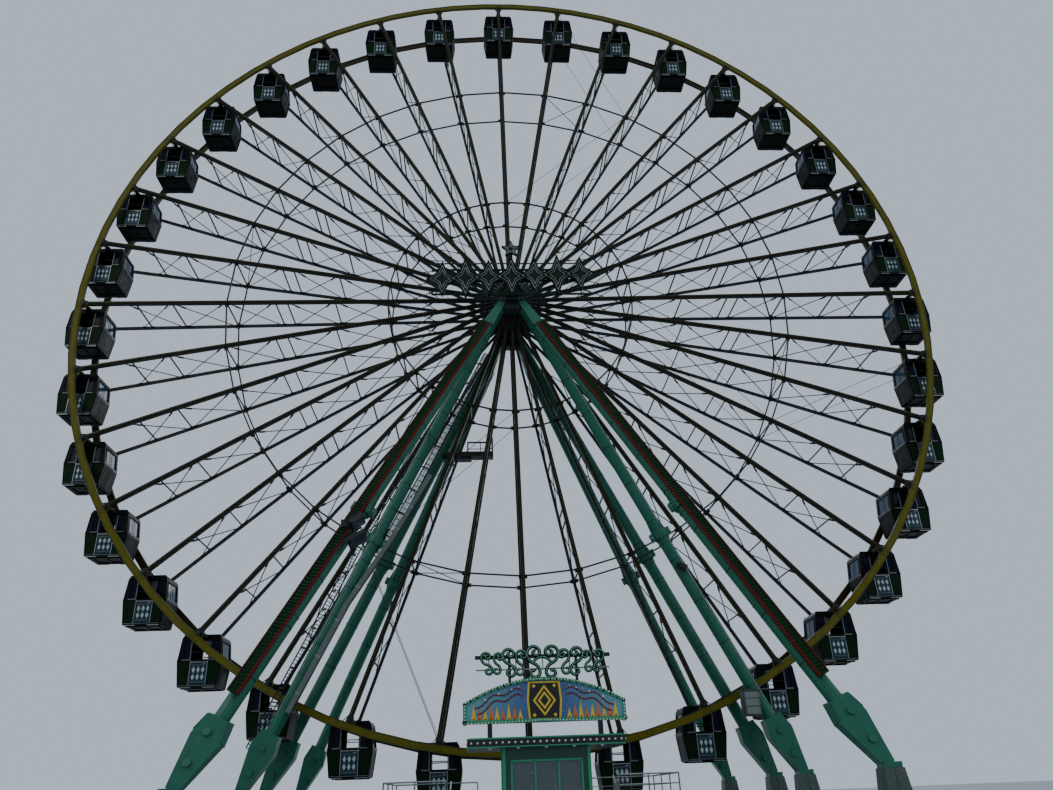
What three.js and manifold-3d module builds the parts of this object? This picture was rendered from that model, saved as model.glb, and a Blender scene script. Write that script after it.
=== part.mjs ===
// Fairground ferris wheel as a 1:2 scale model, in millimetres, +Z up.
// The origin is on the ground under the hub centre, the wheel turns about Y,
// and the front of the wheel faces -Y.
import * as THREE from 'three';
import { mergeVertices } from 'three/addons/utils/BufferGeometryUtils.js';
import Module from 'manifold-3d';

const wasm = await Module();
wasm.setup();

// Driving dimensions, at model size, which is half of the real size.
const GAP = 0.3; // clearance between solids that touch
const SPOKES = 36; // spoke pairs, one gondola on each
const STEP = (2 * Math.PI) / SPOKES;
const PHASE = THREE.MathUtils.degToRad(0.6); // turn of the wheel as it stands
const R = 11200; // radius of the rim centre line
const HUB_Z = 12800; // hub centre above the ground
const RIM_HALF = 82.5; // half height of the rim band
const RIM_THICK = 60; // rim band across the wheel
const RIM_FACETS = 72;
const RIM_Y = 645; // rim planes in front of and behind the hub centre
const HUB_Y = 522; // spoke planes at the hub
const HUB_FLANGE_R = 560; // seat of the spokes on the drum flanges
const HUB_FLANGE_T = 110;
const HUB_DRUM_R = 400;
const SHAFT_R = 180;
const FRONT_SPOKE = { hub: 84, rim: 100, deep: 90 };
const REAR_SPOKE = { hub: 60, rim: 70, deep: 70 };
const TIE = 34; // square bars of the tie rings
const TIE_RADII = [0.667 * R, 0.293 * R];
const PIVOT_R = 0.989 * R; // gondola pivots
const PAD_W = 130; // bearing pads on the spoke tips
const PAD_DROP = 95; // inner end of a pad below the pivot
const PAD_DEEP = 100;
const BORE_R = 34; // bores of the pads, clear of the turning axles
const PIN_SIDES = 8;

// Gondola, measured from its pivot
const CAB_HALF_Y = 375;
const CAB_SIDE = [[385, 0], [425, -60], [474.5, -526], [486, -526], [486, -544], [475.5, -544], [403, -1086]];
const CAB_OUTER = [...CAB_SIDE, ...CAB_SIDE.map(([x, z]) => [-x, z]).reverse()];
const CAB_INNER = [[397, -130], [444, -540], [376, -1046], [-376, -1046], [-444, -540], [-397, -130]];
const CAB_WALL = 30;
const AXLE_BLOCK = 45; // half size of the block that holds the axle in the roof
const AXLE_BLOCK_HALF_Y = 400;
const AXLE_R = 30;
const AXLE_HALF_Y = 674;
const COLLAR_R = 40; // collars of the axle, which run against the pads

// Supports
const LEG_R = 140;
const LEG_SIDES = 12;
const LEG_FLANGE_R = 190;
const LEG_FLANGE_T = 80;
const LEG_FLANGE_DROP = 0.596 * R; // flange joints below the hub centre
const INNER_LEG_Y = 980; // planes of the two A-frames
const LEG_TOP_X = 56;
const INNER_SLOPE = 0.48; // sideways run of an inner leg per unit of drop
const OUTER_SLOPE_X = 0.486; // the same of an outer leg
const OUTER_SLOPE_Y = 0.339; // outward run of an outer leg
const OUTER_TOP_Y = 952;
const FOOT_Z = 1000; // lower ends of the legs above the ground
const FOOT_TOP_DROP = 0.953 * R;
const HEAD_HALF_X = 345;
const HEAD_INNER_Y = 830;
const HEAD_OUTER_Y = 1120;
const HEAD_TOP = 60;
const HEAD_BOTTOM = -620;

// Light panels on the front outer legs
const PANEL_TOP_DROP = 0.125 * R;
const PANEL_END_DROP = 0.925 * R;
const PANEL_W = 220;
const PANEL_T = 50;
const PANEL_OFF = 200; // seat above the tube axis
const PANEL_SHIFT = 25; // centre line outward of the tube axis

// Base
const GIRDER_X = 5745;
const GIRDER_HALF_X = 220;
const GIRDER_HALF_Y = 5350;
const GIRDER_TOP = 450;
const PEDESTAL = 480;
const CROSS_TOP = 420;
const CROSS_W = 300;
const DECK_TOP = 560;
const DECK_HALF_X = 2700;
const DECK_NEAR_Y = -450;
const DECK_FAR_Y = -3100;

// Pay booth and its arched sign
const BOOTH_X = 134;
const BOOTH_Y = -4520;
const BOOTH_W = 1366;
const BOOTH_D = 1000;
const BOOTH_H = 1500;
const BOOTH_ROOF_T = 140;
const SIGN_Y = -5040;
const SIGN_HALF_W = 1333;
const SIGN_BOTTOM = 1863;
const SIGN_END = 2182;
const SIGN_APEX = 2563;

// Solids.
const X_AXIS = new THREE.Vector3(1, 0, 0);
const Y_AXIS = new THREE.Vector3(0, 1, 0);

function vec(x, y, z) {
  return new THREE.Vector3(x, y, z);
}

// A closed triangle mesh with shared vertices as a solid that can be joined and cut.
function solid(geometry) {
  const bare = geometry.clone();
  for (const key of Object.keys(bare.attributes)) {
    if (key !== 'position') bare.deleteAttribute(key);
  }
  const merged = mergeVertices(bare, 0.01);
  const pos = new Float32Array(merged.attributes.position.array);
  const tri = new Uint32Array(merged.index.array);
  if (signedVolume(pos, tri) < 0) {
    for (let i = 0; i < tri.length; i += 3) {
      const first = tri[i];
      tri[i] = tri[i + 1];
      tri[i + 1] = first;
    }
  }
  return new wasm.Manifold(new wasm.Mesh({ numProp: 3, vertProperties: pos, triVerts: tri }));
}

function signedVolume(pos, tri) {
  let sum = 0;
  const a = vec(0, 0, 0);
  const b = vec(0, 0, 0);
  const c = vec(0, 0, 0);
  for (let i = 0; i < tri.length; i += 3) {
    a.fromArray(pos, 3 * tri[i]);
    b.fromArray(pos, 3 * tri[i + 1]);
    c.fromArray(pos, 3 * tri[i + 2]);
    sum += a.dot(b.cross(c));
  }
  return sum / 6;
}

function join(solids) {
  return solids.reduce((whole, next) => whole.add(next));
}

// Box between two corners.
function box(x0, x1, y0, y1, z0, z1) {
  const geometry = new THREE.BoxGeometry(x1 - x0, y1 - y0, z1 - z0);
  geometry.translate((x0 + x1) / 2, (y0 + y1) / 2, (z0 + z1) / 2);
  return solid(geometry);
}

// Straight bar from a to b; its ends lie in the plane of the side and up directions,
// and its section goes from w0 x h0 to w1 x h1.
function bar(a, b, side, up, w0, h0, w1 = w0, h1 = h0) {
  const geometry = new THREE.BoxGeometry(1, 1, 1);
  const pos = geometry.attributes.position;
  const point = vec(0, 0, 0);
  for (let i = 0; i < pos.count; i += 1) {
    const t = pos.getZ(i) + 0.5;
    const w = THREE.MathUtils.lerp(w0, w1, t) * pos.getX(i);
    const h = THREE.MathUtils.lerp(h0, h1, t) * pos.getY(i);
    point.lerpVectors(a, b, t).addScaledVector(side, w).addScaledVector(up, h);
    pos.setXYZ(i, point.x, point.y, point.z);
  }
  return solid(geometry);
}

// Round bar from a to b.
function rod(a, b, r0, sides, r1 = r0) {
  const along = vec(0, 0, 0).subVectors(b, a);
  const geometry = new THREE.CylinderGeometry(r1, r0, along.length(), sides);
  geometry.applyQuaternion(new THREE.Quaternion().setFromUnitVectors(Y_AXIS, along.clone().normalize()));
  geometry.translate((a.x + b.x) / 2, (a.y + b.y) / 2, (a.z + b.z) / 2);
  return solid(geometry);
}

// Outline in X and Z, pushed through from y0 to y1.
function slab(outline, y0, y1) {
  const shape = new THREE.Shape(outline.map(([x, z]) => new THREE.Vector2(x, z)));
  const geometry = new THREE.ExtrudeGeometry(shape, { depth: y1 - y0, bevelEnabled: false, steps: 1 });
  geometry.rotateX(Math.PI / 2);
  geometry.translate(0, y1, 0);
  return solid(geometry);
}

// Closed profile of radius and Y, turned about the Y axis; facets face the spoke angles.
function ring(profile, facets) {
  const points = profile.map(([r, y]) => new THREE.Vector2(r, y));
  points.push(points[0].clone());
  return solid(new THREE.LatheGeometry(points, facets, Math.PI / facets));
}

function paint(color, roughness, metalness) {
  return new THREE.MeshStandardMaterial({ color, roughness, metalness });
}

const rimPaint = paint('#b8a431', 0.45, 0.2);
const spokePaint = paint('#c9c9c2', 0.45, 0.3);
const hubPaint = paint('#25302c', 0.5, 0.4);
const steel = paint('#8d9290', 0.4, 0.8);
const legPaint = paint('#3f9580', 0.4, 0.2);
const panelPaint = paint('#0b4a22', 0.5, 0.1);
const cabPaint = paint('#20352c', 0.4, 0.2);
const basePaint = paint('#3a4a45', 0.6, 0.3);
const deckPaint = paint('#77756d', 0.7, 0.2);
const signPaint = paint('#8fb0a4', 0.4, 0.5);
const boothPaint = paint('#1d5a48', 0.5, 0.1);
const archPaint = paint('#2d7f9e', 0.5, 0.1);

function piece(name, body, material) {
  const mesh = body.getMesh();
  const geometry = new THREE.BufferGeometry();
  geometry.setAttribute('position', new THREE.BufferAttribute(new Float32Array(mesh.vertProperties), 3));
  geometry.setIndex(new THREE.BufferAttribute(new Uint32Array(mesh.triVerts), 1));
  geometry.computeVertexNormals();
  const result = new THREE.Mesh(geometry, material);
  result.name = name;
  return result;
}

// The turning wheel, in the hub's frame.
function spokeY(radius) {
  return HUB_Y + ((RIM_Y - HUB_Y) * radius) / R;
}

function radial(angle) {
  return vec(-Math.sin(angle), 0, Math.cos(angle));
}

function tangent(angle) {
  return vec(Math.cos(angle), 0, Math.sin(angle));
}

// Point on a spoke pair: y is -1 on the front spoke's centre line and 1 on the rear one's.
function onSpoke(angle, radius, y) {
  return radial(angle).multiplyScalar(radius).setY(y * spokeY(radius));
}

function spoke(angle, side, size) {
  const inner = onSpoke(angle, HUB_FLANGE_R + GAP, side);
  const outer = onSpoke(angle, R - RIM_HALF - 30, side);
  return bar(inner, outer, Y_AXIS, tangent(angle), size.deep, size.hub, size.deep, size.rim);
}

// Pad at a spoke's tip that takes the end of a gondola's axle.
function bearingPad(angle, side) {
  const inner = onSpoke(angle, PIVOT_R - PAD_DROP, side);
  const outer = onSpoke(angle, R - RIM_HALF - GAP, side);
  return bar(inner, outer, Y_AXIS, tangent(angle), PAD_DEEP, PAD_W);
}

function bearingBore(angle, side) {
  const mid = radial(angle).multiplyScalar(PIVOT_R);
  const reach = spokeY(PIVOT_R);
  const near = mid.clone().setY(side * (reach - 100));
  const far = mid.clone().setY(side * (reach + 100));
  return rod(near, far, BORE_R, PIN_SIDES);
}

function tie(angle, radius, side) {
  const a = onSpoke(angle, radius, side);
  const b = onSpoke(angle + STEP, radius, side);
  return bar(a, b, Y_AXIS, radial(angle + STEP / 2), TIE, TIE);
}

// One flat side of the wheel: its spokes with their bearing pads and the tie rings.
function spokeSide(side, size) {
  const parts = [];
  const bores = [];
  for (let k = 0; k < SPOKES; k += 1) {
    const angle = k * STEP;
    parts.push(spoke(angle, side, size), bearingPad(angle, side));
    for (const radius of TIE_RADII) parts.push(tie(angle, radius, side));
    bores.push(bearingBore(angle, side));
  }
  return join(parts).subtract(join(bores));
}

function rimBand(y) {
  const inner = (R - RIM_HALF) / Math.cos(Math.PI / RIM_FACETS);
  const outer = (R + RIM_HALF) / Math.cos(Math.PI / RIM_FACETS);
  const half = RIM_THICK / 2;
  return ring([[inner, y - half], [outer, y - half], [outer, y + half], [inner, y + half]], RIM_FACETS);
}

function hubDrum() {
  const grow = 1 / Math.cos(Math.PI / SPOKES);
  const bore = (SHAFT_R + GAP) * grow;
  const flange = HUB_FLANGE_R * grow;
  const out = HUB_Y + HUB_FLANGE_T / 2;
  const inn = HUB_Y - HUB_FLANGE_T / 2;
  const drum = HUB_DRUM_R * grow;
  return ring([
    [bore, -out], [flange, -out], [flange, -inn], [drum, -inn],
    [drum, inn], [flange, inn], [flange, out], [bore, out],
  ], SPOKES);
}

// Gondola with its axle, in its pivot's frame.
function gondola() {
  const shell = slab(CAB_OUTER, -CAB_HALF_Y, CAB_HALF_Y);
  const half = AXLE_BLOCK_HALF_Y;
  const block = box(-AXLE_BLOCK, AXLE_BLOCK, -half, half, -AXLE_BLOCK, AXLE_BLOCK);
  const axle = rod(vec(0, -AXLE_HALF_Y, 0), vec(0, AXLE_HALF_Y, 0), AXLE_R, PIN_SIDES);
  const seat = spokeY(PIVOT_R - COLLAR_R) - PAD_DEEP / 2 - GAP;
  const collars = rod(vec(0, -seat, 0), vec(0, seat, 0), COLLAR_R, PIN_SIDES);
  const room = slab(CAB_INNER, -CAB_HALF_Y + CAB_WALL, CAB_HALF_Y - CAB_WALL);
  const frontWindows = box(-340, 340, -CAB_HALF_Y - 10, CAB_HALF_Y + 10, -510, -130);
  const endWindows = box(-500, 500, -290, 290, -510, -130);
  return join([shell, block, collars, axle]).subtract(room).subtract(frontWindows).subtract(endWindows);
}

// Supports, in the hub's frame.
function innerLegAt(side, face, drop) {
  return vec(side * (LEG_TOP_X + INNER_SLOPE * drop), face * INNER_LEG_Y, -drop);
}

function outerLegAt(side, face, drop) {
  return vec(side * OUTER_SLOPE_X * drop, face * (OUTER_TOP_Y + OUTER_SLOPE_Y * drop), -drop);
}

// Tube with its flange joint and the flared foot that narrows to the base pin.
function leg(at, topDrop) {
  const footDrop = HUB_Z - FOOT_Z - GAP;
  const dir = at(footDrop).sub(at(topDrop)).normalize();
  const across = vec(0, 0, 0).crossVectors(Y_AXIS, dir).normalize();
  const tube = rod(at(topDrop), at(FOOT_TOP_DROP + 120), LEG_R, LEG_SIDES);
  const mid = at(LEG_FLANGE_DROP);
  const reach = dir.clone().multiplyScalar(LEG_FLANGE_T / 2);
  const flange = rod(mid.clone().sub(reach), mid.clone().add(reach), LEG_FLANGE_R, LEG_SIDES);
  const flare = bar(at(FOOT_TOP_DROP), at(FOOT_TOP_DROP + 330), across, Y_AXIS, 400, 300, 520, 320);
  const shield = bar(at(FOOT_TOP_DROP + 330), at(footDrop - 60), across, Y_AXIS, 520, 320, 200, 240);
  const end = at(footDrop);
  const plate = box(end.x - 150, end.x + 150, end.y - 150, end.y + 150, -footDrop, -footDrop + 90);
  return join([tube, flange, flare, shield, plate]);
}

function headBlock(face) {
  const outline = [
    [-150, HEAD_TOP], [-HEAD_HALF_X, -60], [-HEAD_HALF_X, HEAD_BOTTOM + 60], [-230, HEAD_BOTTOM],
    [230, HEAD_BOTTOM], [HEAD_HALF_X, HEAD_BOTTOM + 60], [HEAD_HALF_X, -60], [150, HEAD_TOP],
  ];
  const near = face < 0 ? -HEAD_OUTER_Y : HEAD_INNER_Y;
  return slab(outline, near, near + HEAD_OUTER_Y - HEAD_INNER_Y);
}

// One A-frame: the head block with its two inner legs.
function aFrame(face) {
  const legs = [-1, 1].map((side) => leg((drop) => innerLegAt(side, face, drop), 420));
  return join([headBlock(face), ...legs]);
}

function panelFrame(side) {
  const at = (drop) => outerLegAt(side, -1, drop);
  const dir = at(1000).sub(at(0)).normalize();
  const normal = Y_AXIS.clone().negate();
  normal.addScaledVector(dir, -normal.dot(dir)).normalize();
  const outward = vec(0, 0, 0).crossVectors(normal, dir).normalize();
  if (outward.x * side < 0) outward.negate();
  return { at, dir, normal, outward };
}

// Seats for the light panel, across the tube.
function panelSeats(side) {
  const { at, dir, normal, outward } = panelFrame(side);
  return [0.17, 0.36, 0.55, 0.73, 0.9].map((share) => {
    const mid = at(share * R);
    const a = mid.clone().addScaledVector(outward, PANEL_SHIFT);
    const b = a.clone().addScaledVector(normal, PANEL_OFF);
    return bar(a, b, outward, dir, 180, 60);
  });
}

function lightPanel(side) {
  const { at, normal, outward } = panelFrame(side);
  const lift = PANEL_OFF + GAP + PANEL_T / 2;
  const place = (drop) => at(drop).addScaledVector(normal, lift).addScaledVector(outward, PANEL_SHIFT);
  return bar(place(PANEL_TOP_DROP), place(PANEL_END_DROP), outward, normal, PANEL_W, PANEL_T);
}

// Outer leg with the tapered piece that ties it to the head block.
function outerLeg(side, face) {
  const at = (drop) => outerLegAt(side, face, drop);
  const topDrop = 0.104 * R;
  const parts = [leg(at, topDrop)];
  const low = at(topDrop + 130);
  const high = vec(side * 255, face * (HEAD_OUTER_Y - 60), -420);
  const dir = low.clone().sub(high).normalize();
  const across = vec(0, 0, 0).crossVectors(Y_AXIS, dir).normalize();
  parts.push(bar(high, low, across, Y_AXIS, 170, 230, 270, 290));
  if (face < 0) parts.push(...panelSeats(side));
  const y0 = face < 0 ? -HEAD_OUTER_Y - GAP : 0;
  const y1 = face < 0 ? 0 : HEAD_OUTER_Y + GAP;
  const headRoom = box(-HEAD_HALF_X - 20, HEAD_HALF_X + 20, y0, y1, HEAD_BOTTOM - 120, HEAD_TOP + 100);
  const neighbour = rod(innerLegAt(side, face, 300), innerLegAt(side, face, 2400), LEG_R + GAP, LEG_SIDES);
  const cut = join(parts).subtract(headRoom).subtract(neighbour);
  const bodies = cut.decompose();
  bodies.sort((a, b) => b.volume() - a.volume());
  return bodies[0];
}

function servicePlatform() {
  const z = -0.34 * R;
  const x0 = -0.166 * R;
  const x1 = -0.047 * R;
  const y0 = 850;
  const y1 = 1160;
  const parts = [box(x0, x1, y0, y1, z - 110, z), box(x0, x0 + 760, y0 + 40, y1 - 40, z - 185, z - 100)];
  for (const x of [x0 + 660, x1 - 20]) parts.push(box(x - 18, x + 18, y1 - 36, y1, z - 20, z + 405));
  parts.push(box(x0 + 642, x1 - 2, y1 - 36, y1, z + 370, z + 405));
  parts.push(box(x1 - 38, x1 - 2, y0, y1, z + 370, z + 405));
  parts.push(box(x1 - 38, x1 - 2, y0, y0 + 36, z - 20, z + 405));
  const clear = rod(innerLegAt(-1, 1, 3000), innerLegAt(-1, 1, 4800), LEG_R + GAP, LEG_SIDES);
  const bodies = join(parts).subtract(clear).decompose();
  bodies.sort((a, b) => b.volume() - a.volume());
  return bodies[0];
}

// Star with its centre at x and z, pulled to its own width and height.
function star(x, z, wide, tall, waist, points, y0, y1) {
  const outline = [];
  for (let i = 0; i < 2 * points; i += 1) {
    const r = i % 2 === 0 ? 1 : waist;
    const a = (i * Math.PI) / points;
    outline.push([x + r * wide * Math.sin(a), z + r * tall * Math.cos(a)]);
  }
  return slab(outline, y0, y1);
}


// Star sign in front of the hub.
function hubSign() {
  const y0 = -1380;
  const y1 = -1330;
  const parts = [];
  for (const z of [-330, 420]) parts.push(box(-2080, 2080, y0 + 10, y1 - 10, z - 25, z + 25));
  for (let i = -3; i <= 3; i += 1) {
    const tall = i % 2 === 0 ? 640 : 540;
    parts.push(star(i * 600, 200 + 25 * i, 420, tall, 0.48, 4, y0, y1));
  }
  parts.push(star(0, 1060, 260, 260, 0.45, 5, y0, y1));
  parts.push(box(-40, 40, y0 + 5, y1 - 5, 600, 1060));
  for (const x of [-110, 110]) parts.push(box(x - 40, x + 40, y1 - 20, -HEAD_OUTER_Y - GAP, -370, -290));
  return join(parts);
}

// Base, on the ground.
function sideBase(side) {
  const x = side * GIRDER_X;
  const parts = [box(x - GIRDER_HALF_X, x + GIRDER_HALF_X, -GIRDER_HALF_Y, GIRDER_HALF_Y, 0, GIRDER_TOP)];
  const drop = HUB_Z - FOOT_Z;
  const feet = [
    innerLegAt(side, -1, drop), innerLegAt(side, 1, drop),
    outerLegAt(side, -1, drop), outerLegAt(side, 1, drop),
  ];
  const half = PEDESTAL / 2;
  for (const foot of feet) {
    const a = vec(x, foot.y, GIRDER_TOP - 20);
    const b = vec(foot.x, foot.y, FOOT_Z);
    parts.push(bar(a, b, X_AXIS, Y_AXIS, PEDESTAL - 60, PEDESTAL, 340, 340));
    if (Math.abs(foot.y) > 2 * INNER_LEG_Y) {
      parts.push(box(x - 330, x + 330, foot.y - half, foot.y + half, 0, 80));
    }
  }
  return join(parts);
}

function crossBase() {
  const reach = GIRDER_X - GIRDER_HALF_X - GAP;
  const half = CROSS_W / 2;
  const parts = [];
  for (const y of [-INNER_LEG_Y, INNER_LEG_Y]) {
    parts.push(box(-reach, reach, y - half, y + half, 0, CROSS_TOP));
  }
  for (const x of [-4200, -1500, 1500, 4200]) {
    parts.push(box(x - 110, x + 110, -INNER_LEG_Y, INNER_LEG_Y, 60, 330));
  }
  return join(parts);
}

function boardingDeck() {
  const under = CROSS_TOP + GAP;
  const parts = [box(-DECK_HALF_X, DECK_HALF_X, DECK_FAR_Y, DECK_NEAR_Y, under, DECK_TOP)];
  for (const x of [-2500, -900, 900, 2500]) {
    parts.push(box(x - 50, x + 50, DECK_FAR_Y + 100, DECK_FAR_Y + 200, 0, under + 20));
  }
  parts.push(box(-1500, 1500, DECK_FAR_Y - 300, DECK_FAR_Y + 50, 0, under + 8));
  parts.push(box(-1500, 1500, DECK_FAR_Y - 600, DECK_FAR_Y - 280, 0, 215));
  return join(parts);
}

function payBooth() {
  const x0 = BOOTH_X - BOOTH_W / 2;
  const x1 = BOOTH_X + BOOTH_W / 2;
  const y0 = BOOTH_Y - BOOTH_D / 2;
  const y1 = BOOTH_Y + BOOTH_D / 2;
  const walls = box(x0, x1, y0, y1, 0, BOOTH_H + 10);
  const room = box(x0 + 40, x1 - 40, y0 + 40, y1 - 40, 60, BOOTH_H - 40);
  const window = box(x0 + 120, x1 - 120, y0 - 20, y0 + 60, 560, 1300);
  const door = box(BOOTH_X - 200, BOOTH_X + 200, y1 - 60, y1 + 20, 60, 1150);
  const roof = box(BOOTH_X - 1250, BOOTH_X + 1250, SIGN_Y - 160, y1 + 160, BOOTH_H, BOOTH_H + BOOTH_ROOF_T);
  return walls.add(roof).subtract(room).subtract(window).subtract(door);
}

function archSign() {
  const top = BOOTH_H + BOOTH_ROOF_T + GAP;
  const outline = [[BOOTH_X + SIGN_HALF_W, SIGN_BOTTOM]];
  for (let i = 0; i <= 16; i += 1) {
    const t = 1 - i / 8;
    const z = SIGN_END + (SIGN_APEX - SIGN_END) * (1 - t * t);
    outline.push([BOOTH_X + t * SIGN_HALF_W, z]);
  }
  outline.push([BOOTH_X - SIGN_HALF_W, SIGN_BOTTOM]);
  const parts = [slab(outline, SIGN_Y - 40, SIGN_Y + 40)];
  for (const x of [-900, 900]) {
    parts.push(box(BOOTH_X + x - 35, BOOTH_X + x + 35, SIGN_Y - 35, SIGN_Y + 35, top, SIGN_BOTTOM + 50));
  }
  const rail = 2900;
  parts.push(box(BOOTH_X - 1130, BOOTH_X + 1130, SIGN_Y - 20, SIGN_Y + 20, rail - 25, rail + 25));
  for (const x of [-560, 560]) {
    parts.push(box(BOOTH_X + x - 20, BOOTH_X + x + 20, SIGN_Y - 20, SIGN_Y + 20, SIGN_END, rail));
  }
  return join(parts);
}

// Assembly.
const group = new THREE.Group();

const wheel = new THREE.Group();
wheel.position.set(0, 0, HUB_Z);
wheel.rotation.y = -PHASE;
wheel.add(piece('hub_drum', hubDrum(), hubPaint));
wheel.add(piece('rim_front', rimBand(-RIM_Y), rimPaint));
wheel.add(piece('rim_rear', rimBand(RIM_Y), rimPaint));
wheel.add(piece('spokes_front', spokeSide(-1, FRONT_SPOKE), spokePaint));
wheel.add(piece('spokes_rear', spokeSide(1, REAR_SPOKE), spokePaint));
group.add(wheel);

const cabins = new THREE.Group();
cabins.position.set(0, 0, HUB_Z);
const cabin = piece('gondola', gondola(), cabPaint);
for (let k = 0; k < SPOKES; k += 1) {
  const copy = new THREE.Mesh(cabin.geometry, cabPaint);
  copy.name = `gondola_${String(k + 1).padStart(2, '0')}`;
  copy.position.copy(radial(PHASE + k * STEP).multiplyScalar(PIVOT_R));
  cabins.add(copy);
}
group.add(cabins);

const supports = new THREE.Group();
supports.position.set(0, 0, HUB_Z);
const shaftEnd = HEAD_INNER_Y - GAP;
supports.add(piece('shaft', rod(vec(0, -shaftEnd, 0), vec(0, shaftEnd, 0), SHAFT_R, SPOKES), steel));
supports.add(piece('frame_front', aFrame(-1), legPaint));
supports.add(piece('frame_rear', aFrame(1), legPaint));
supports.add(piece('leg_front_left', outerLeg(-1, -1), legPaint));
supports.add(piece('leg_front_right', outerLeg(1, -1), legPaint));
supports.add(piece('leg_rear_left', outerLeg(-1, 1), legPaint));
supports.add(piece('leg_rear_right', outerLeg(1, 1), legPaint));
supports.add(piece('light_panel_left', lightPanel(-1), panelPaint));
supports.add(piece('light_panel_right', lightPanel(1), panelPaint));
supports.add(piece('service_platform', servicePlatform(), steel));
supports.add(piece('hub_sign', hubSign(), signPaint));
group.add(supports);

group.add(piece('base_left', sideBase(-1), basePaint));
group.add(piece('base_right', sideBase(1), basePaint));
group.add(piece('base_cross', crossBase(), basePaint));
group.add(piece('boarding_deck', boardingDeck(), deckPaint));
group.add(piece('pay_booth', payBooth(), boothPaint));
group.add(piece('arch_sign', archSign(), archPaint));

export default group;
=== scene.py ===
"""Looks of a fairground ferris wheel, a 1:2 scale model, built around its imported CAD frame."""
import math

import bmesh
import bpy
from bpy.props import FloatProperty, FloatVectorProperty, PointerProperty
from bpy.types import Operator, Panel, PropertyGroup
from mathutils import Matrix, Vector


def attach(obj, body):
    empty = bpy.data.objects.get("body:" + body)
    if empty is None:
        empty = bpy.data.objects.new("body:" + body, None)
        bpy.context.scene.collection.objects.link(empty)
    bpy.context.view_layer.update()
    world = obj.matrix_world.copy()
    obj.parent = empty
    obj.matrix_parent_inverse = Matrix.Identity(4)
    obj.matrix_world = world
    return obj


bl_info = {
    "name": "Ferris Wheel Dresser",
    "version": (1, 0, 0),
    "blender": (4, 5, 0),
    "location": "3D View > Sidebar > Ferris Wheel",
    "description": "Adds lamps, lacing, cabin fittings, signs and finishes to a ferris wheel frame",
    "category": "Add Mesh",
}

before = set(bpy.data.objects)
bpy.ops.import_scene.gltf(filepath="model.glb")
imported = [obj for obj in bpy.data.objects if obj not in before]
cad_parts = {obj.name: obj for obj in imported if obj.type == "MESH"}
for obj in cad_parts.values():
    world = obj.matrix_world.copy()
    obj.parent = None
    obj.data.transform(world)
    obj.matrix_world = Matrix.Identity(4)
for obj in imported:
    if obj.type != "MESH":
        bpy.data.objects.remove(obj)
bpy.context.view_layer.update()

# Sizes of the frame, in metres
HUB = Vector((0.0, 0.0, 12.8))
RIM_RADIUS = 11.2
RIM_HALF = 0.0825
RIM_HALF_THICK = 0.03
RIM_FACETS = 72
RIM_Y = 0.645
HUB_Y = 0.522
HUB_FACE_Y = 0.577
PIVOT_RADIUS = 0.989 * RIM_RADIUS
SPOKES = 36
STEP = 2.0 * math.pi / SPOKES
PHASE = math.radians(0.6)
FRONT_DEEP = 0.045
REAR_DEEP = 0.035
PAD_DEEP = 0.05
RING_OUTER = 0.667 * RIM_RADIUS
RING_INNER = 0.293 * RIM_RADIUS
COLLAR_DROP = 0.596 * RIM_RADIUS
CABIN_Y = 0.375
FOOT_DROP = 11.8
BOOTH_X = 0.134
BOOTH_FRONT = -5.02
BOOTH_BACK = -4.02
SIGN_Y = -5.04
X, Y, Z = Vector((1, 0, 0)), Vector((0, 1, 0)), Vector((0, 0, 1))
SHARP = math.radians(35.0)

# The camera: the eye in metres, and its yaw, pitch and roll in degrees
EYE = (-0.874, -19.467, 0.779)
GAZE = (3.613, 25.843, -2.227)


def linear(code):
    """Linear RGB of an sRGB hex colour."""
    parts = [int(code[i:i + 2], 16) / 255 for i in (1, 3, 5)]
    return tuple(c / 12.92 if c <= 0.04045 else ((c + 0.055) / 1.055) ** 2.4 for c in parts)


def paint_property(label, text, code):
    return FloatVectorProperty(
        name=label, description=text, subtype="COLOR", size=3, min=0.0, max=1.0, default=linear(code)
    )


def length_property(label, text, value):
    return FloatProperty(
        name=label, description=text, subtype="DISTANCE", unit="LENGTH", min=0.001, default=value
    )


# Most of these paints are set darker than the real paints: the extra darkness is painted shade, for a wheel
# lit from behind against a bright sky. The spokes are really white grey, their lamp strips gold, their caps
# ivory and the rims a brighter olive yellow; the hub, cabins and star sign are darkened the same way.
class FerrisPaint(PropertyGroup):
    rim: paint_property("Rim", "Olive yellow of the two rims", "#5c5704")
    spoke: paint_property("Spokes", "Grey of the spokes and lacing", "#272723")
    strip: paint_property("Lamp strips", "Gold of the lamp strips on the spokes", "#2e2910")
    cap: paint_property("Lamp caps", "Amber ivory of the lamp caps", "#57512f")
    leg: paint_property("Legs", "Teal green of the legs", "#19624c")
    head: paint_property("Head covers", "Dark green of the head covers", "#06170f")
    panel: paint_property("Light panels", "Dark green of the light panels", "#032a0c")
    stripe: paint_property("Panel edges", "Red of the light panels' edges", "#5e0a0b")
    cabin: paint_property("Cabins", "Near black green of the cabin shells", "#040706")
    cabin_side: paint_property("Cabin fronts", "Green of the panels beside the doors", "#05210b")
    cabin_end: paint_property("Cabin ends", "Grey green of the lower end panels", "#0d1512")
    door: paint_property("Doors", "Blue grey of the door panels", "#14323f")
    base: paint_property("Base", "Grey green of the ground frame", "#3a4a45")
    sign: paint_property("Star sign", "Dark green of the star bodies", "#062417")
    arch: paint_property("Arch", "Deep blue at the middle of the arch", "#14417a")
    arch_end: paint_property("Arch ends", "Pale teal at the ends of the arch", "#52939c")
    border: paint_property("Arch border", "Green of the arch border", "#1f8b5f")
    booth: paint_property("Pay booth", "Green of the pay booth", "#15453a")


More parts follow.
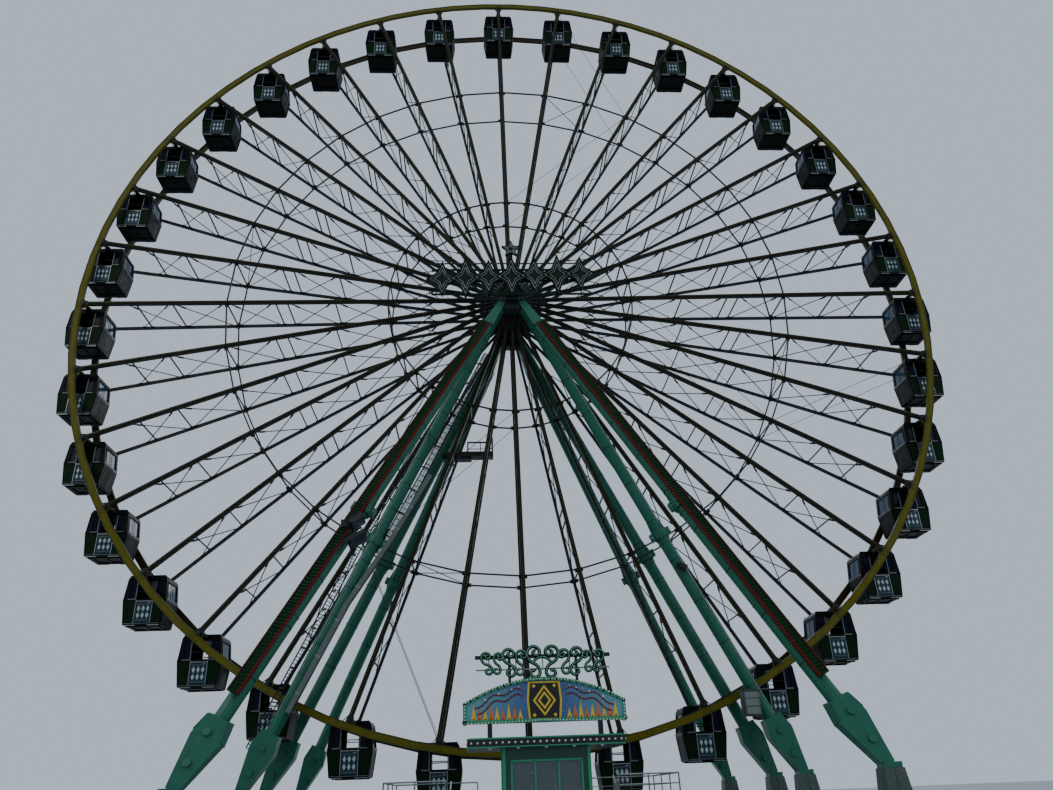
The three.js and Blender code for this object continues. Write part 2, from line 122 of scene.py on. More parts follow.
class FerrisSizes(PropertyGroup):
    cap_pitch: length_property("Lamp spacing", "Distance between lamp caps on a spoke", 0.045)
    rod_radius: length_property("Cross rod", "Radius of the crossed rods in the spokes", 0.012)
    wire_radius: length_property("Wires", "Radius of the long bracing wires", 0.007)
    bulb_pitch: length_property("Bulb spacing", "Distance between bulbs on the light panels", 0.075)
    border_pitch: length_property("Border spacing", "Distance between bulbs on the arch border", 0.055)
    rung_pitch: length_property("Rung spacing", "Distance between the rungs of the ladder", 0.15)


class FerrisStage(PropertyGroup):
    floor: paint_property("Floor", "Pale grey of the studio floor", "#c4c7c9")
    sky: paint_property("Backdrop", "Pale grey blue of the backdrop", "#bccad8")
    sky_strength: FloatProperty(
        name="Backdrop light", description="Light of the backdrop", min=0.0, default=1.0
    )
    key_power: FloatProperty(
        name="Key light", description="Power of the key light", subtype="POWER", min=0.0, default=1500.0
    )
    lens: FloatProperty(
        name="Lens", description="Focal length of the camera", subtype="DISTANCE_CAMERA", min=1.0,
        default=28.354,
    )


# Mesh tools

def met(elements):
    """The elements once each, in the order in which they are met."""
    return list(dict.fromkeys(elements))


def colour_faces(verts, slot):
    """Gives the faces around the vertices a material slot; returns the vertices."""
    if slot:
        for face in met(face for vert in verts for face in vert.link_faces):
            face.material_index = slot
    return verts


def box(bm, corner, opposite, slot=0):
    """Box between two opposite corners, given in any order."""
    low, high = Vector(map(min, corner, opposite)), Vector(map(max, corner, opposite))
    place = Matrix.Translation((low + high) / 2) @ Matrix.Diagonal((*(high - low), 1.0))
    return colour_faces(bmesh.ops.create_cube(bm, size=1.0, matrix=place)["verts"], slot)


def bar(bm, start, end, wide, deep, side=X, slot=0):
    """Square-edged bar from start to end, wide along side."""
    start, end = Vector(start), Vector(end)
    along = (end - start).normalized()
    across = (side - along * along.dot(side)).normalized()
    third = along.cross(across)
    place = Matrix((across * wide, third * deep, end - start)).transposed().to_4x4()
    place.translation = (start + end) / 2
    return colour_faces(bmesh.ops.create_cube(bm, size=1.0, matrix=place)["verts"], slot)


def rod(bm, start, end, radius, sides=8, tip=None, slot=0):
    """Round bar from start to end, or a cone frustum when tip is given."""
    start, end = Vector(start), Vector(end)
    turn = (end - start).to_track_quat("Z", "Y").to_matrix().to_4x4()
    made = bmesh.ops.create_cone(
        bm, cap_ends=True, cap_tris=False, segments=sides, radius1=radius,
        radius2=radius if tip is None else tip, depth=(end - start).length,
        matrix=Matrix.Translation((start + end) / 2) @ turn,
    )
    return colour_faces(made["verts"], slot)


def stud(bm, foot, rise, radius):
    """Hexagon bolt head on foot, as high as the vector rise, in the second finish of its piece."""
    rod(bm, foot, foot + rise, radius, 6, slot=1)


def around(count, first=0.0):
    """Turns about Z that share out a circle, the first one at an angle in degrees."""
    return [Matrix.Rotation(math.radians(first + 360 / count * i), 4, "Z") for i in range(count)]


def bulb(bm, centre, radius, slot=0):
    made = bmesh.ops.create_icosphere(bm, subdivisions=1, radius=radius, matrix=Matrix.Translation(centre))
    return colour_faces(made["verts"], slot)


def plate(bm, corners, thick, slot=0):
    """Flat plate on the given corners, pushed out by the vector thick."""
    face = bm.faces.new([bm.verts.new(corner) for corner in corners])
    grown = bmesh.ops.extrude_face_region(bm, geom=[face], use_keep_orig=True)["geom"]
    verts = [item for item in grown if isinstance(item, bmesh.types.BMVert)]
    bmesh.ops.translate(bm, verts=verts, vec=Vector(thick))
    both = verts + list(face.verts)
    bmesh.ops.recalc_face_normals(bm, faces=met(near for vert in both for near in vert.link_faces))
    return colour_faces(both, slot)


def soften(bm, verts, width, segments=2):
    """Rounds every edge between the given vertices."""
    edges = met(edge for vert in verts for edge in vert.link_edges)
    bmesh.ops.bevel(
        bm, geom=edges, offset=width, segments=segments, profile=0.5, affect="EDGES", material=-1
    )


def lathe(profile, sides):
    """Mesh of a profile of (radius, height) pairs turned about Z."""
    bm = bmesh.new()
    verts = [bm.verts.new((radius, 0.0, height)) for radius, height in profile]
    edges = [bm.edges.new(pair) for pair in zip(verts, verts[1:])]
    bmesh.ops.spin(
        bm, geom=verts + edges, cent=(0, 0, 0), axis=(0, 0, 1), dvec=(0, 0, 0), angle=2 * math.pi,
        steps=sides, use_merge=True, use_normal_flip=False, use_duplicate=False,
    )
    bmesh.ops.remove_doubles(bm, verts=bm.verts, dist=0.0001)
    bmesh.ops.recalc_face_normals(bm, faces=bm.faces)
    return template(bm)


def hoop(inner, outer, low, high, sides):
    """Square-edged ring about Z."""
    return lathe([(inner, low), (outer, low), (outer, high), (inner, high), (inner, low)], sides)


def template(bm):
    mesh = bpy.data.meshes.new("template")
    bm.to_mesh(mesh)
    bm.free()
    return mesh


def stamp(bm, pattern, place, slot=None):
    """Adds a copy of the pattern mesh, moved by the matrix place."""
    copy = pattern.copy()
    copy.transform(place)
    if slot is not None:
        for face in copy.polygons:
            face.material_index = slot
    bm.from_mesh(copy)
    bpy.data.meshes.remove(copy)


def aimed(origin, along, side=X):
    """Matrix with its Z on along and its X near side, at origin."""
    along = Vector(along).normalized()
    across = (side - along * along.dot(side)).normalized()
    place = Matrix((across, along.cross(across), along)).transposed().to_4x4()
    place.translation = origin
    return place


def evenly(points, pitch):
    """Points and directions at an even spacing on a line through the given points."""
    spots = []
    lengths = [(b - a).length for a, b in zip(points, points[1:])]
    count = max(2, round(sum(lengths) / pitch))
    for i in range(count + 1):
        left = sum(lengths) * i / count
        k = 0
        while k < len(lengths) - 1 and left > lengths[k]:
            left -= lengths[k]
            k += 1
        along = (points[k + 1] - points[k]).normalized()
        spots.append((points[k] + along * left, along))
    return spots


def scroll(bm, start, heading, arcs, radius, slot=0):
    """Round tube in an upright plane that bends through arcs of (turn radius, degrees to the left)."""
    at = Vector(start)
    angle = math.radians(heading)
    ahead = Vector((math.cos(angle), 0, math.sin(angle)))
    made = bmesh.ops.create_circle(bm, cap_ends=True, segments=8, radius=radius, matrix=aimed(at, ahead, Y))
    verts = list(made["verts"])
    edges = met(edge for vert in verts for edge in vert.link_edges)
    tube = met(verts)
    for turn, degrees in arcs:
        left = Vector((-ahead.z, 0, ahead.x)) * math.copysign(turn, degrees)
        spun = bmesh.ops.spin(
            bm, geom=verts + edges, cent=at + left, axis=(0, 1, 0), dvec=(0, 0, 0),
            angle=-math.radians(degrees), steps=max(2, round(abs(degrees) / 18)),
            use_merge=False, use_normal_flip=False, use_duplicate=False,
        )["geom_last"]
        verts = [item for item in spun if isinstance(item, bmesh.types.BMVert)]
        edges = [item for item in spun if isinstance(item, bmesh.types.BMEdge)]
        swing = Matrix.Rotation(-math.radians(degrees), 3, "Y")
        at = at + left + swing @ (-left)
        ahead = swing @ ahead
    bmesh.ops.edgeloop_fill(bm, edges=edges)
    seen = dict.fromkeys(tube)
    queue = list(tube)
    while queue:
        for edge in queue.pop().link_edges:
            for vert in edge.verts:
                if vert not in seen:
                    seen[vert] = None
                    queue.append(vert)
    bmesh.ops.recalc_face_normals(bm, faces=met(face for vert in seen for face in vert.link_faces))
    return colour_faces(list(seen), slot)


def piece(name, bm, body, looks):
    """Object of what the bmesh holds, riding on a body."""
    mesh = bpy.data.meshes.new(name)
    bm.to_mesh(mesh)
    bm.free()
    place_piece(name, mesh, body, looks)


def place_piece(name, mesh, body, looks):
    """Object of the mesh in these finishes, riding on a body, with edges over SHARP kept crisp."""
    for finish in looks:
        mesh.materials.append(finish)
    mesh.polygons.foreach_set("use_smooth", [True] * len(mesh.polygons))
    mesh.set_sharp_from_angle(angle=SHARP)
    made = bpy.data.objects.new(name, mesh)
    bpy.context.scene.collection.objects.link(made)
    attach(made, body)


# Places on the wheel and the supports

def spoke_y(radius):
    return HUB_Y + (RIM_Y - HUB_Y) * radius / RIM_RADIUS


def spoke_frame(k):
    """Matrix of spoke k: Z along the spoke, Y along the axle, origin at the hub."""
    return Matrix.Translation(HUB) @ Matrix.Rotation(-(PHASE + k * STEP), 4, "Y")


def on_spoke(k, radius, face):
    return spoke_frame(k) @ Vector((0.0, face * spoke_y(radius), radius))


def round_wheel(pattern, spokes=range(SPOKES)):
    """New bmesh with the pattern mesh on each of the spokes."""
    bm = bmesh.new()
    for k in spokes:
        stamp(bm, pattern, spoke_frame(k))
    return bm


def inner_leg(side, face, drop):
    return HUB + Vector((side * (0.056 + 0.48 * drop), face * 0.98, -drop))


def outer_leg(side, face, drop):
    return HUB + Vector((side * 0.486 * drop, face * (0.952 + 0.339 * drop), -drop))


def leg_axis(leg, side, face):
    return (leg(side, face, 8.0) - leg(side, face, 1.0)).normalized()


# The four legs of one face, and the two faces with their names and the finish of their legs; the rear legs'
# finish is a greener teal, made darker by painted shade
LEGS = [(leg, side) for leg in (inner_leg, outer_leg) for side in (-1, 1)]
ENDS = ((-1, "front", "leg"), (1, "rear", "leg_back_shaded"))
# The two faces with how deep a spoke's chord is there, and the spokes in two halves
CHORD_DEPTHS = ((-1, FRONT_DEEP), (1, REAR_DEEP))
HALVES = (("left", range(SPOKES // 2)), ("right", range(SPOKES // 2, SPOKES)))


# Finishes

def node(tree, kind, values=None, links=None, **settings):
    """Adds a node with its settings, input values and links."""
    new = tree.nodes.new("ShaderNode" + kind)
    for key, value in settings.items():
        setattr(new, key, value)
    for key, value in (values or {}).items():
        new.inputs[key].default_value = value
    for key, source in (links or {}).items():
        tree.links.new(source, new.inputs[key])
    return new


def new_finish(name, values):
    finish = bpy.data.materials.new(name)
    finish.use_nodes = True
    tree = finish.node_tree
    shader = tree.nodes["Principled BSDF"]
    for key, value in values.items():
        shader.inputs[key].default_value = value
    return finish, tree, shader


def opaque(colour):
    return (*colour, 1.0)


def toned(colour, share, towards=(0.0, 0.0, 0.0)):
    """The colour mixed by a share with another one."""
    return tuple(c * (1 - share) + t * share for c, t in zip(colour, towards))


def enamel(name, paint, gloss=0.36, wear=0.45, patch=1.1, chips=0.0, sheen=0.4):
    """Two-pack enamel rolled on steel.

    Even colour with chalky sun-faded patches, rain streaks, a faint roller
    texture and, where it is knocked, chips down to the grey primer.
    """
    finish, tree, shader = new_finish(name, {"IOR": 1.5, "Specular IOR Level": sheen})
    place = node(tree, "TexCoord").outputs["Object"]
    fade = node(tree, "TexNoise", {"Scale": 1 / patch, "Detail": 5.0, "Roughness": 0.6}, {"Vector": place})
    drip = node(tree, "Mapping", {"Scale": (7.0, 7.0, 0.8)}, {"Vector": place})
    streak = node(
        tree, "TexNoise", {"Scale": 1.0, "Detail": 6.0, "Roughness": 0.65}, {"Vector": drip.outputs[0]}
    )
    chalk = node(
        tree, "MapRange", {"From Min": 0.4, "From Max": 0.7, "To Max": 0.6 * wear},
        {"Value": fade.outputs["Fac"]},
    )
    grime = node(
        tree, "MapRange", {"From Min": 0.5, "From Max": 0.74, "To Max": wear},
        {"Value": streak.outputs["Fac"]},
    )
    pale = opaque(toned(paint, 0.06, (0.5, 0.5, 0.46)))
    sun = node(tree, "Mix", {6: opaque(paint), 7: pale}, {0: chalk.outputs[0]}, data_type="RGBA")
    dirt = node(
        tree, "Mix", {7: opaque(toned(paint, 0.75, (0.03, 0.026, 0.02)))},
        {0: grime.outputs[0], 6: sun.outputs[2]}, data_type="RGBA",
    )
    colour = dirt.outputs[2]
    if chips:
        spots = node(tree, "TexNoise", {"Scale": 24.0, "Detail": 3.0}, {"Vector": place})
        bare = node(
            tree, "MapRange", {"From Min": 0.72 - 0.08 * chips, "From Max": 0.735 - 0.08 * chips},
            {"Value": spots.outputs["Fac"]},
        )
        primer = node(
            tree, "Mix", {7: opaque(linear("#6f6a62"))}, {0: bare.outputs[0], 6: colour}, data_type="RGBA"
        )
        colour = primer.outputs[2]
    tree.links.new(colour, shader.inputs["Base Color"])
    rough = node(
        tree, "MapRange", {"From Min": 0.3, "From Max": 0.7, "To Min": gloss - 0.06, "To Max": gloss + 0.16},
        {"Value": streak.outputs["Fac"]},
    )
    tree.links.new(rough.outputs[0], shader.inputs["Roughness"])
    # Roller texture is 2 mm on the real steel; 8 mm here, or it would not show
    grain = node(tree, "TexNoise", {"Scale": 125.0, "Detail": 2.0}, {"Vector": place})
    bump = node(tree, "Bump", {"Strength": 0.12, "Distance": 0.002}, {"Height": grain.outputs["Fac"]})
    tree.links.new(bump.outputs[0], shader.inputs["Normal"])
    return finish


def zinc(name, tint="#9aa09f", rough=0.42):
    """Hot-dip galvanised steel: matt metal with a spangle of crystals and dull run marks."""
    finish, tree, shader = new_finish(name, {"Metallic": 0.85})
    place = node(tree, "TexCoord").outputs["Object"]
    # The crystals are about 12 mm on the real steel; 20 mm here so that they show
    crystal = node(tree, "TexVoronoi", {"Scale": 50.0}, {"Vector": place})
    cloud = node(tree, "TexNoise", {"Scale": 3.0, "Detail": 5.0}, {"Vector": place})
    light = opaque(linear(tint))
    tone = node(
        tree, "Mix", {6: light, 7: opaque(toned(linear(tint), 0.45))},
        {0: crystal.outputs["Color"]}, data_type="RGBA",
    )
    dull = node(
        tree, "MapRange", {"From Min": 0.45, "From Max": 0.75, "To Max": 0.6},
        {"Value": cloud.outputs["Fac"]},
    )
    stain = node(
        tree, "Mix", {7: opaque(linear("#57534b"))},
        {0: dull.outputs[0], 6: tone.outputs[2]}, data_type="RGBA",
    )
    tree.links.new(stain.outputs[2], shader.inputs["Base Color"])
    spread = node(
        tree, "MapRange", {"To Min": rough - 0.1, "To Max": rough + 0.2}, {"Value": cloud.outputs["Fac"]}
    )
    tree.links.new(spread.outputs[0], shader.inputs["Roughness"])
    return finish


def drawn_aluminium(name):
    """Extruded aluminium, natural anodised: pale satin metal with fine draw lines along its length."""
    finish, tree, shader = new_finish(name, {"Metallic": 0.9})
    place = node(tree, "TexCoord").outputs["Object"]
    lines = node(tree, "Mapping", {"Scale": (180.0, 180.0, 14.0)}, {"Vector": place})
    fine = node(tree, "TexNoise", {"Scale": 1.0, "Detail": 3.0}, {"Vector": lines.outputs[0]})
    cloud = node(tree, "TexNoise", {"Scale": 5.0, "Detail": 4.0}, {"Vector": place})
    tone = node(
        tree, "Mix", {6: opaque(linear("#a6aaab")), 7: opaque(linear("#6f7577"))},
        {0: cloud.outputs["Fac"]}, data_type="RGBA",
    )
    tree.links.new(tone.outputs[2], shader.inputs["Base Color"])
    rough = node(tree, "MapRange", {"To Min": 0.24, "To Max": 0.46}, {"Value": fine.outputs["Fac"]})
    tree.links.new(rough.outputs[0], shader.inputs["Roughness"])
    bump = node(tree, "Bump", {"Strength": 0.06, "Distance": 0.001}, {"Height": fine.outputs["Fac"]})
    tree.links.new(bump.outputs[0], shader.inputs["Normal"])
    return finish


def acrylic(name, tint="#b4c6cf", clear=0.92, sheen=0.5):
    """Cast acrylic sheet: clear with a cold tint, and a haze of wiping marks."""
    finish, tree, shader = new_finish(
        name,
        {
            "Base Color": opaque(linear(tint)), "IOR": 1.49,
            "Transmission Weight": clear, "Specular IOR Level": sheen,
        },
    )
    place = node(tree, "TexCoord").outputs["Object"]
    haze = node(tree, "TexNoise", {"Scale": 7.0, "Detail": 6.0, "Roughness": 0.7}, {"Vector": place})
    rough = node(
        tree, "MapRange", {"From Min": 0.4, "From Max": 0.8, "To Min": 0.02, "To Max": 0.16},
        {"Value": haze.outputs["Fac"]},
    )
    tree.links.new(rough.outputs[0], shader.inputs["Roughness"])
    return finish


def lamp_cap(name, tint):
    """Moulded polycarbonate cap or bulb glass: glossy, slightly translucent, each a little different."""
    finish, tree, shader = new_finish(
        name, {"IOR": 1.58, "Subsurface Weight": 0.12, "Subsurface Scale": 0.01, "Roughness": 0.2}
    )
    place = node(tree, "TexCoord").outputs["Object"]
    cell = node(tree, "TexVoronoi", {"Scale": 16.0}, {"Vector": place})
    tone = node(
        tree, "Mix", {6: opaque(tint), 7: opaque(toned(tint, 0.4, (0.02, 0.02, 0.015)))},
        {0: cell.outputs["Color"]}, data_type="RGBA",
    )
    tree.links.new(tone.outputs[2], shader.inputs["Base Color"])
    return finish


def gelcoat(name, tint):
    """Hand-laid glass fibre with gelcoat: glossy, softly waved, scuffed matt where people sit."""
    finish, tree, shader = new_finish(name, {"IOR": 1.52})
    place = node(tree, "TexCoord").outputs["Object"]
    scuff = node(tree, "TexNoise", {"Scale": 9.0, "Detail": 6.0, "Roughness": 0.7}, {"Vector": place})
    tone = node(
        tree, "Mix", {6: opaque(tint), 7: opaque(toned(tint, 0.35))},
        {0: scuff.outputs["Fac"]}, data_type="RGBA",
    )
    tree.links.new(tone.outputs[2], shader.inputs["Base Color"])
    rough = node(tree, "MapRange", {"To Min": 0.2, "To Max": 0.6}, {"Value": scuff.outputs["Fac"]})
    tree.links.new(rough.outputs[0], shader.inputs["Roughness"])
    wave = node(tree, "TexNoise", {"Scale": 16.0, "Detail": 1.0}, {"Vector": place})
    bump = node(tree, "Bump", {"Strength": 0.1, "Distance": 0.004}, {"Height": wave.outputs["Fac"]})
    tree.links.new(bump.outputs[0], shader.inputs["Normal"])
    return finish


def tread_plate(name, tint):
    """Rolled aluminium tread plate, worn grey: crossed raised bars, bright on top and dirty between."""
    finish, tree, shader = new_finish(name, {"Metallic": 0.6})
    place = node(tree, "TexCoord").outputs["Object"]
    heights = []
    for turn in (0.785, -0.785):
        slant = node(tree, "Mapping", {"Rotation": (0.0, 0.0, turn)}, {"Vector": place})
        # Bars every 28 mm on real plate; 40 mm here so that they show
        heights.append(
            node(tree, "TexWave", {"Scale": 25.0 / 3.14}, {"Vector": slant.outputs[0]}, wave_profile="SIN")
        )
    pattern = node(
        tree, "Math", {}, {0: heights[0].outputs["Fac"], 1: heights[1].outputs["Fac"]}, operation="MAXIMUM"
    )
    raised = node(tree, "MapRange", {"From Min": 0.82, "From Max": 0.97}, {"Value": pattern.outputs[0]})
    dirt = node(tree, "TexNoise", {"Scale": 1.6, "Detail": 6.0, "Roughness": 0.65}, {"Vector": place})
    tone = node(
        tree, "Mix", {6: opaque(toned(tint, 0.55)), 7: opaque(tint)}, {0: raised.outputs[0]}, data_type="RGBA"
    )
    worn = node(
        tree, "Mix", {7: opaque(linear("#3d3932"))},
        {0: dirt.outputs["Fac"], 6: tone.outputs[2]}, data_type="RGBA",
    )
    tree.links.new(worn.outputs[2], shader.inputs["Base Color"])
    rough = node(tree, "MapRange", {"To Min": 0.35, "To Max": 0.7}, {"Value": dirt.outputs["Fac"]})
    tree.links.new(rough.outputs[0], shader.inputs["Roughness"])
    bump = node(tree, "Bump", {"Strength": 0.5, "Distance": 0.003}, {"Height": raised.outputs[0]})
    tree.links.new(bump.outputs[0], shader.inputs["Normal"])
    return finish


def rubber(name):
    """Moulded black rubber: matt, greyed by dust."""
    finish, tree, shader = new_finish(name, {"IOR": 1.52})
    place = node(tree, "TexCoord").outputs["Object"]
    dust = node(tree, "TexNoise", {"Scale": 6.0, "Detail": 5.0}, {"Vector": place})
    tone = node(
        tree, "Mix", {6: opaque(linear("#151515")), 7: opaque(linear("#34322f"))},
        {0: dust.outputs["Fac"]}, data_type="RGBA",
    )
    tree.links.new(tone.outputs[2], shader.inputs["Base Color"])
    rough = node(tree, "MapRange", {"To Min": 0.6, "To Max": 0.9}, {"Value": dust.outputs["Fac"]})
    tree.links.new(rough.outputs[0], shader.inputs["Roughness"])
    return finish


def arch_board(name, middle, ends):
    """Airbrushed sign board under clear lacquer: deep blue at the middle that pales to the ends."""
    finish, tree, shader = new_finish(name, {"IOR": 1.5, "Coat Weight": 0.4, "Coat Roughness": 0.1})
    place = node(tree, "TexCoord").outputs["Object"]
    centred = node(tree, "Mapping", {"Location": (-BOOTH_X, 0.0, 0.0)}, {"Vector": place})
    apart = node(tree, "SeparateXYZ", {}, {0: centred.outputs[0]})
    reach = node(tree, "Math", {}, {0: apart.outputs[0]}, operation="ABSOLUTE")
    share = node(tree, "MapRange", {"From Min": 0.3, "From Max": 1.3}, {"Value": reach.outputs[0]})
    blend = node(tree, "Mix", {6: opaque(middle), 7: opaque(ends)}, {0: share.outputs[0]}, data_type="RGBA")
    mist = node(tree, "TexNoise", {"Scale": 14.0, "Detail": 5.0, "Roughness": 0.7}, {"Vector": place})
    soft = node(
        tree, "MapRange", {"From Min": 0.35, "From Max": 0.8, "To Max": 0.35},
        {"Value": mist.outputs["Fac"]},
    )
    spray = node(
        tree, "Mix", {7: opaque(toned(middle, 0.6, (0.2, 0.45, 0.6)))},
        {0: soft.outputs[0], 6: blend.outputs[2]}, data_type="RGBA",
    )
    tree.links.new(spray.outputs[2], shader.inputs["Base Color"])
    rough = node(tree, "MapRange", {"To Min": 0.25, "To Max": 0.5}, {"Value": mist.outputs["Fac"]})
    tree.links.new(rough.outputs[0], shader.inputs["Roughness"])
    return finish


def studio_floor(name, tint):
    """Seamless painted studio floor: matt and almost even."""
    finish, tree, shader = new_finish(name, {"Roughness": 0.8})
    place = node(tree, "TexCoord").outputs["Object"]
    cloud = node(tree, "TexNoise", {"Scale": 0.15, "Detail": 3.0}, {"Vector": place})
    tone = node(
        tree, "Mix", {6: opaque(tint), 7: opaque(toned(tint, 0.08))},
        {0: cloud.outputs["Fac"]}, data_type="RGBA",
    )
    tree.links.new(tone.outputs[2], shader.inputs["Base Color"])
    return finish


def shade(tone):
    """Linear colour of a hex code, or of the paint setting with that name."""
    return linear(tone) if tone[0] == "#" else tuple(getattr(bpy.context.scene.ferris_paint, tone))


# Material, colour, and how it differs from plain enamel: gloss is the base roughness, wear the share
# of fading and grime, patch the size of a faded patch in metres, chips how much primer shows through,
# and sheen the specular level
ENAMELS = {
    # Rim yellow, drawn darker than the real paint: partly painted shade
    "rim": ("Rolled enamel on steel, rim yellow", "rim",
            dict(gloss=0.42, wear=0.4, patch=1.6, chips=0.6, sheen=0.1)),
    # The rear rim wears the same rim yellow; this brown olive is that paint in painted shade
    "rim_in_painted_shade": ("Rolled enamel on steel, brown olive", "#2e2204",
                 dict(gloss=0.42, wear=0.4, patch=1.6, chips=0.6, sheen=0.1)),
    # The spokes' enamel is really white grey and their lamp strips gold: both are drawn near black as painted
    # shade
    "spoke": ("Sprayed enamel on steel, dark grey", "spoke",
              dict(gloss=0.42, wear=0.5, patch=0.9, chips=0.4, sheen=0.12)),
    "strip": ("Powder coat on aluminium, gold", "strip", dict(gloss=0.44, wear=0.35, patch=0.5, sheen=0.12)),
    "leg": ("Rolled enamel on steel, teal", "leg",
            dict(gloss=0.33, wear=0.4, patch=1.8, chips=0.3, sheen=0.3)),
    # Rear legs: a greener teal than the front ones, and darker as painted shade
    "leg_back_shaded": ("Rolled enamel on steel, dark teal", "#17604a",
                 dict(gloss=0.33, wear=0.45, patch=1.8, chips=0.3, sheen=0.3)),
    "head": ("Rolled enamel on steel, dark green", "head", dict(gloss=0.36, wear=0.4, sheen=0.25)),
    # Hub green, drawn near black: partly painted shade
    "hub": ("Brushed enamel on cast steel, black green", "#0c1412",
            dict(gloss=0.42, wear=0.5, patch=0.6, chips=0.4)),
    "panel": ("Sprayed enamel on sheet steel, panel green", "panel", dict(gloss=0.36, wear=0.2, sheen=0.08)),
    "stripe": ("Sprayed enamel on sheet steel, red", "stripe", dict(gloss=0.36, wear=0.2, sheen=0.1)),
    # The cabins' enamels are set near black; much of that darkness is painted shade
    "cabin": ("Stoved enamel on sheet steel, black green", "cabin",
              dict(gloss=0.4, wear=0.25, patch=0.5, sheen=0.1)),
    "cabin_side": ("Stoved enamel on sheet steel, green", "cabin_side",
                   dict(gloss=0.42, wear=0.2, patch=0.5, sheen=0.06)),
    "cabin_end": ("Stoved enamel on sheet steel, grey green", "cabin_end",
                  dict(gloss=0.42, wear=0.35, patch=0.4, sheen=0.08)),
    "door": ("Stoved enamel on sheet steel, blue grey", "door",
             dict(gloss=0.36, wear=0.3, patch=0.4, sheen=0.15)),
    "white": ("Powder coat on aluminium, grey white", "#6d7471", dict(gloss=0.35, wear=0.3, patch=0.4)),
    "trunk": ("Powder coat on sheet steel, trunking grey", "#59635f", dict(gloss=0.4, wear=0.35, patch=0.6)),
    "figure": ("Signwriter's enamel, ice white", "#aab5b4", dict(gloss=0.34, wear=0.2, patch=0.3, sheen=0.3)),
    "base": ("Brushed enamel on steel, grey green", "base", dict(gloss=0.5, wear=0.7, patch=0.8, chips=1.0)),
    # Star sign green, set darker than the real paint as painted shade of the star faces
    "sign": ("Sprayed enamel on sheet steel, sign green", "sign",
             dict(gloss=0.38, wear=0.25, patch=0.5, sheen=0.12)),
    "border": ("Sprayed enamel on sheet steel, border green", "border",
               dict(gloss=0.3, wear=0.25, patch=0.4)),
    "booth": ("Rolled enamel on plywood, booth green", "booth", dict(gloss=0.36, wear=0.4, patch=0.7)),
    "black": ("Sprayed enamel on sheet steel, black", "#0e1110", dict(gloss=0.35, wear=0.25, patch=0.5)),
    "gold": ("Signwriter's enamel, yellow", "#d8b52a", dict(gloss=0.3, wear=0.2, patch=0.3)),
    "orange": ("Signwriter's enamel, orange", "#cf6a1f", dict(gloss=0.3, wear=0.2, patch=0.3)),
    "dark_red": ("Sprayed enamel on sheet steel, dark red", "#3d0a0a", dict(gloss=0.3, wear=0.2, sheen=0.2)),
    "crimson": ("Signwriter's enamel, dark red", "#6e1420", dict(gloss=0.3, wear=0.2, patch=0.3)),
    "cream": ("Signwriter's enamel, cream", "#e6dfb8", dict(gloss=0.3, wear=0.2, patch=0.3)),
}
LAMPS = {
    # Amber ivory caps, drawn darker than the real caps as painted shade
    "cap": ("Moulded polycarbonate, amber ivory", "cap"),
    "green_bulb": ("Lacquered bulb glass, green", "#0f5a1c"),
    "red_bulb": ("Lacquered bulb glass, red", "#7d1512"),
    "pearl_bulb": ("Opal bulb glass", "#dfe6d4"),
    "tube": ("Drawn glass tube, frosted white", "#8c918e"),
    "green_tube": ("Drawn glass tube, pale green", "#5fae84"),
}
OTHERS = {
    # Darker copy of the rim paint for the rims' edge angles: painted shade along the rims' edges
    "rim_edge": lambda: enamel(
        "Brushed enamel on steel, olive", toned(shade("rim"), 0.7), gloss=0.5, wear=0.6
    ),
    "alloy": lambda: drawn_aluminium("Extruded aluminium, anodised"),
    "zinc": lambda: zinc("Hot-dip galvanised steel"),
    "dark_steel": lambda: zinc("Blackened steel, oiled", "#34383a", 0.5),
    "black_steel": lambda: zinc("Drawn steel, bitumen dipped", "#1b1d1e", 0.55),
    "glass": lambda: acrylic("Cast acrylic sheet, cold tint"),
    # Front panes: nearly opaque night blue, standing in as painted shade for the dark inside of the cabin
    "window": lambda: acrylic("Cast acrylic sheet, night blue", "#0d112b", clear=0.08, sheen=0.04),
    # End panes: half opaque steel blue, painted light of the sky seen through them
    "end_window": lambda: acrylic("Cast acrylic sheet, steel blue", "#3f5670", clear=0.3, sheen=0.08),
    "seat": lambda: gelcoat("Moulded gelcoat, beige", linear("#4a4538")),
    "deck": lambda: tread_plate("Rolled tread plate, worn", linear("#8a8880")),
    "rubber": lambda: rubber("Moulded rubber, black"),
    "arch": lambda: arch_board("Airbrushed and lacquered board", shade("arch"), shade("arch_end")),
}
MADE = {}


def finish_of(key):
    """The finish with this short name, made once."""
    if key not in MADE:
        if key in ENAMELS:
            name, tone, settings = ENAMELS[key]
            MADE[key] = enamel(name, shade(tone), **settings)
        elif key in LAMPS:
            name, tone = LAMPS[key]
            MADE[key] = lamp_cap(name, shade(tone))
        else:
            MADE[key] = OTHERS[key]()
    return MADE[key]


def finishes(*keys):
    return [finish_of(key) for key in keys]


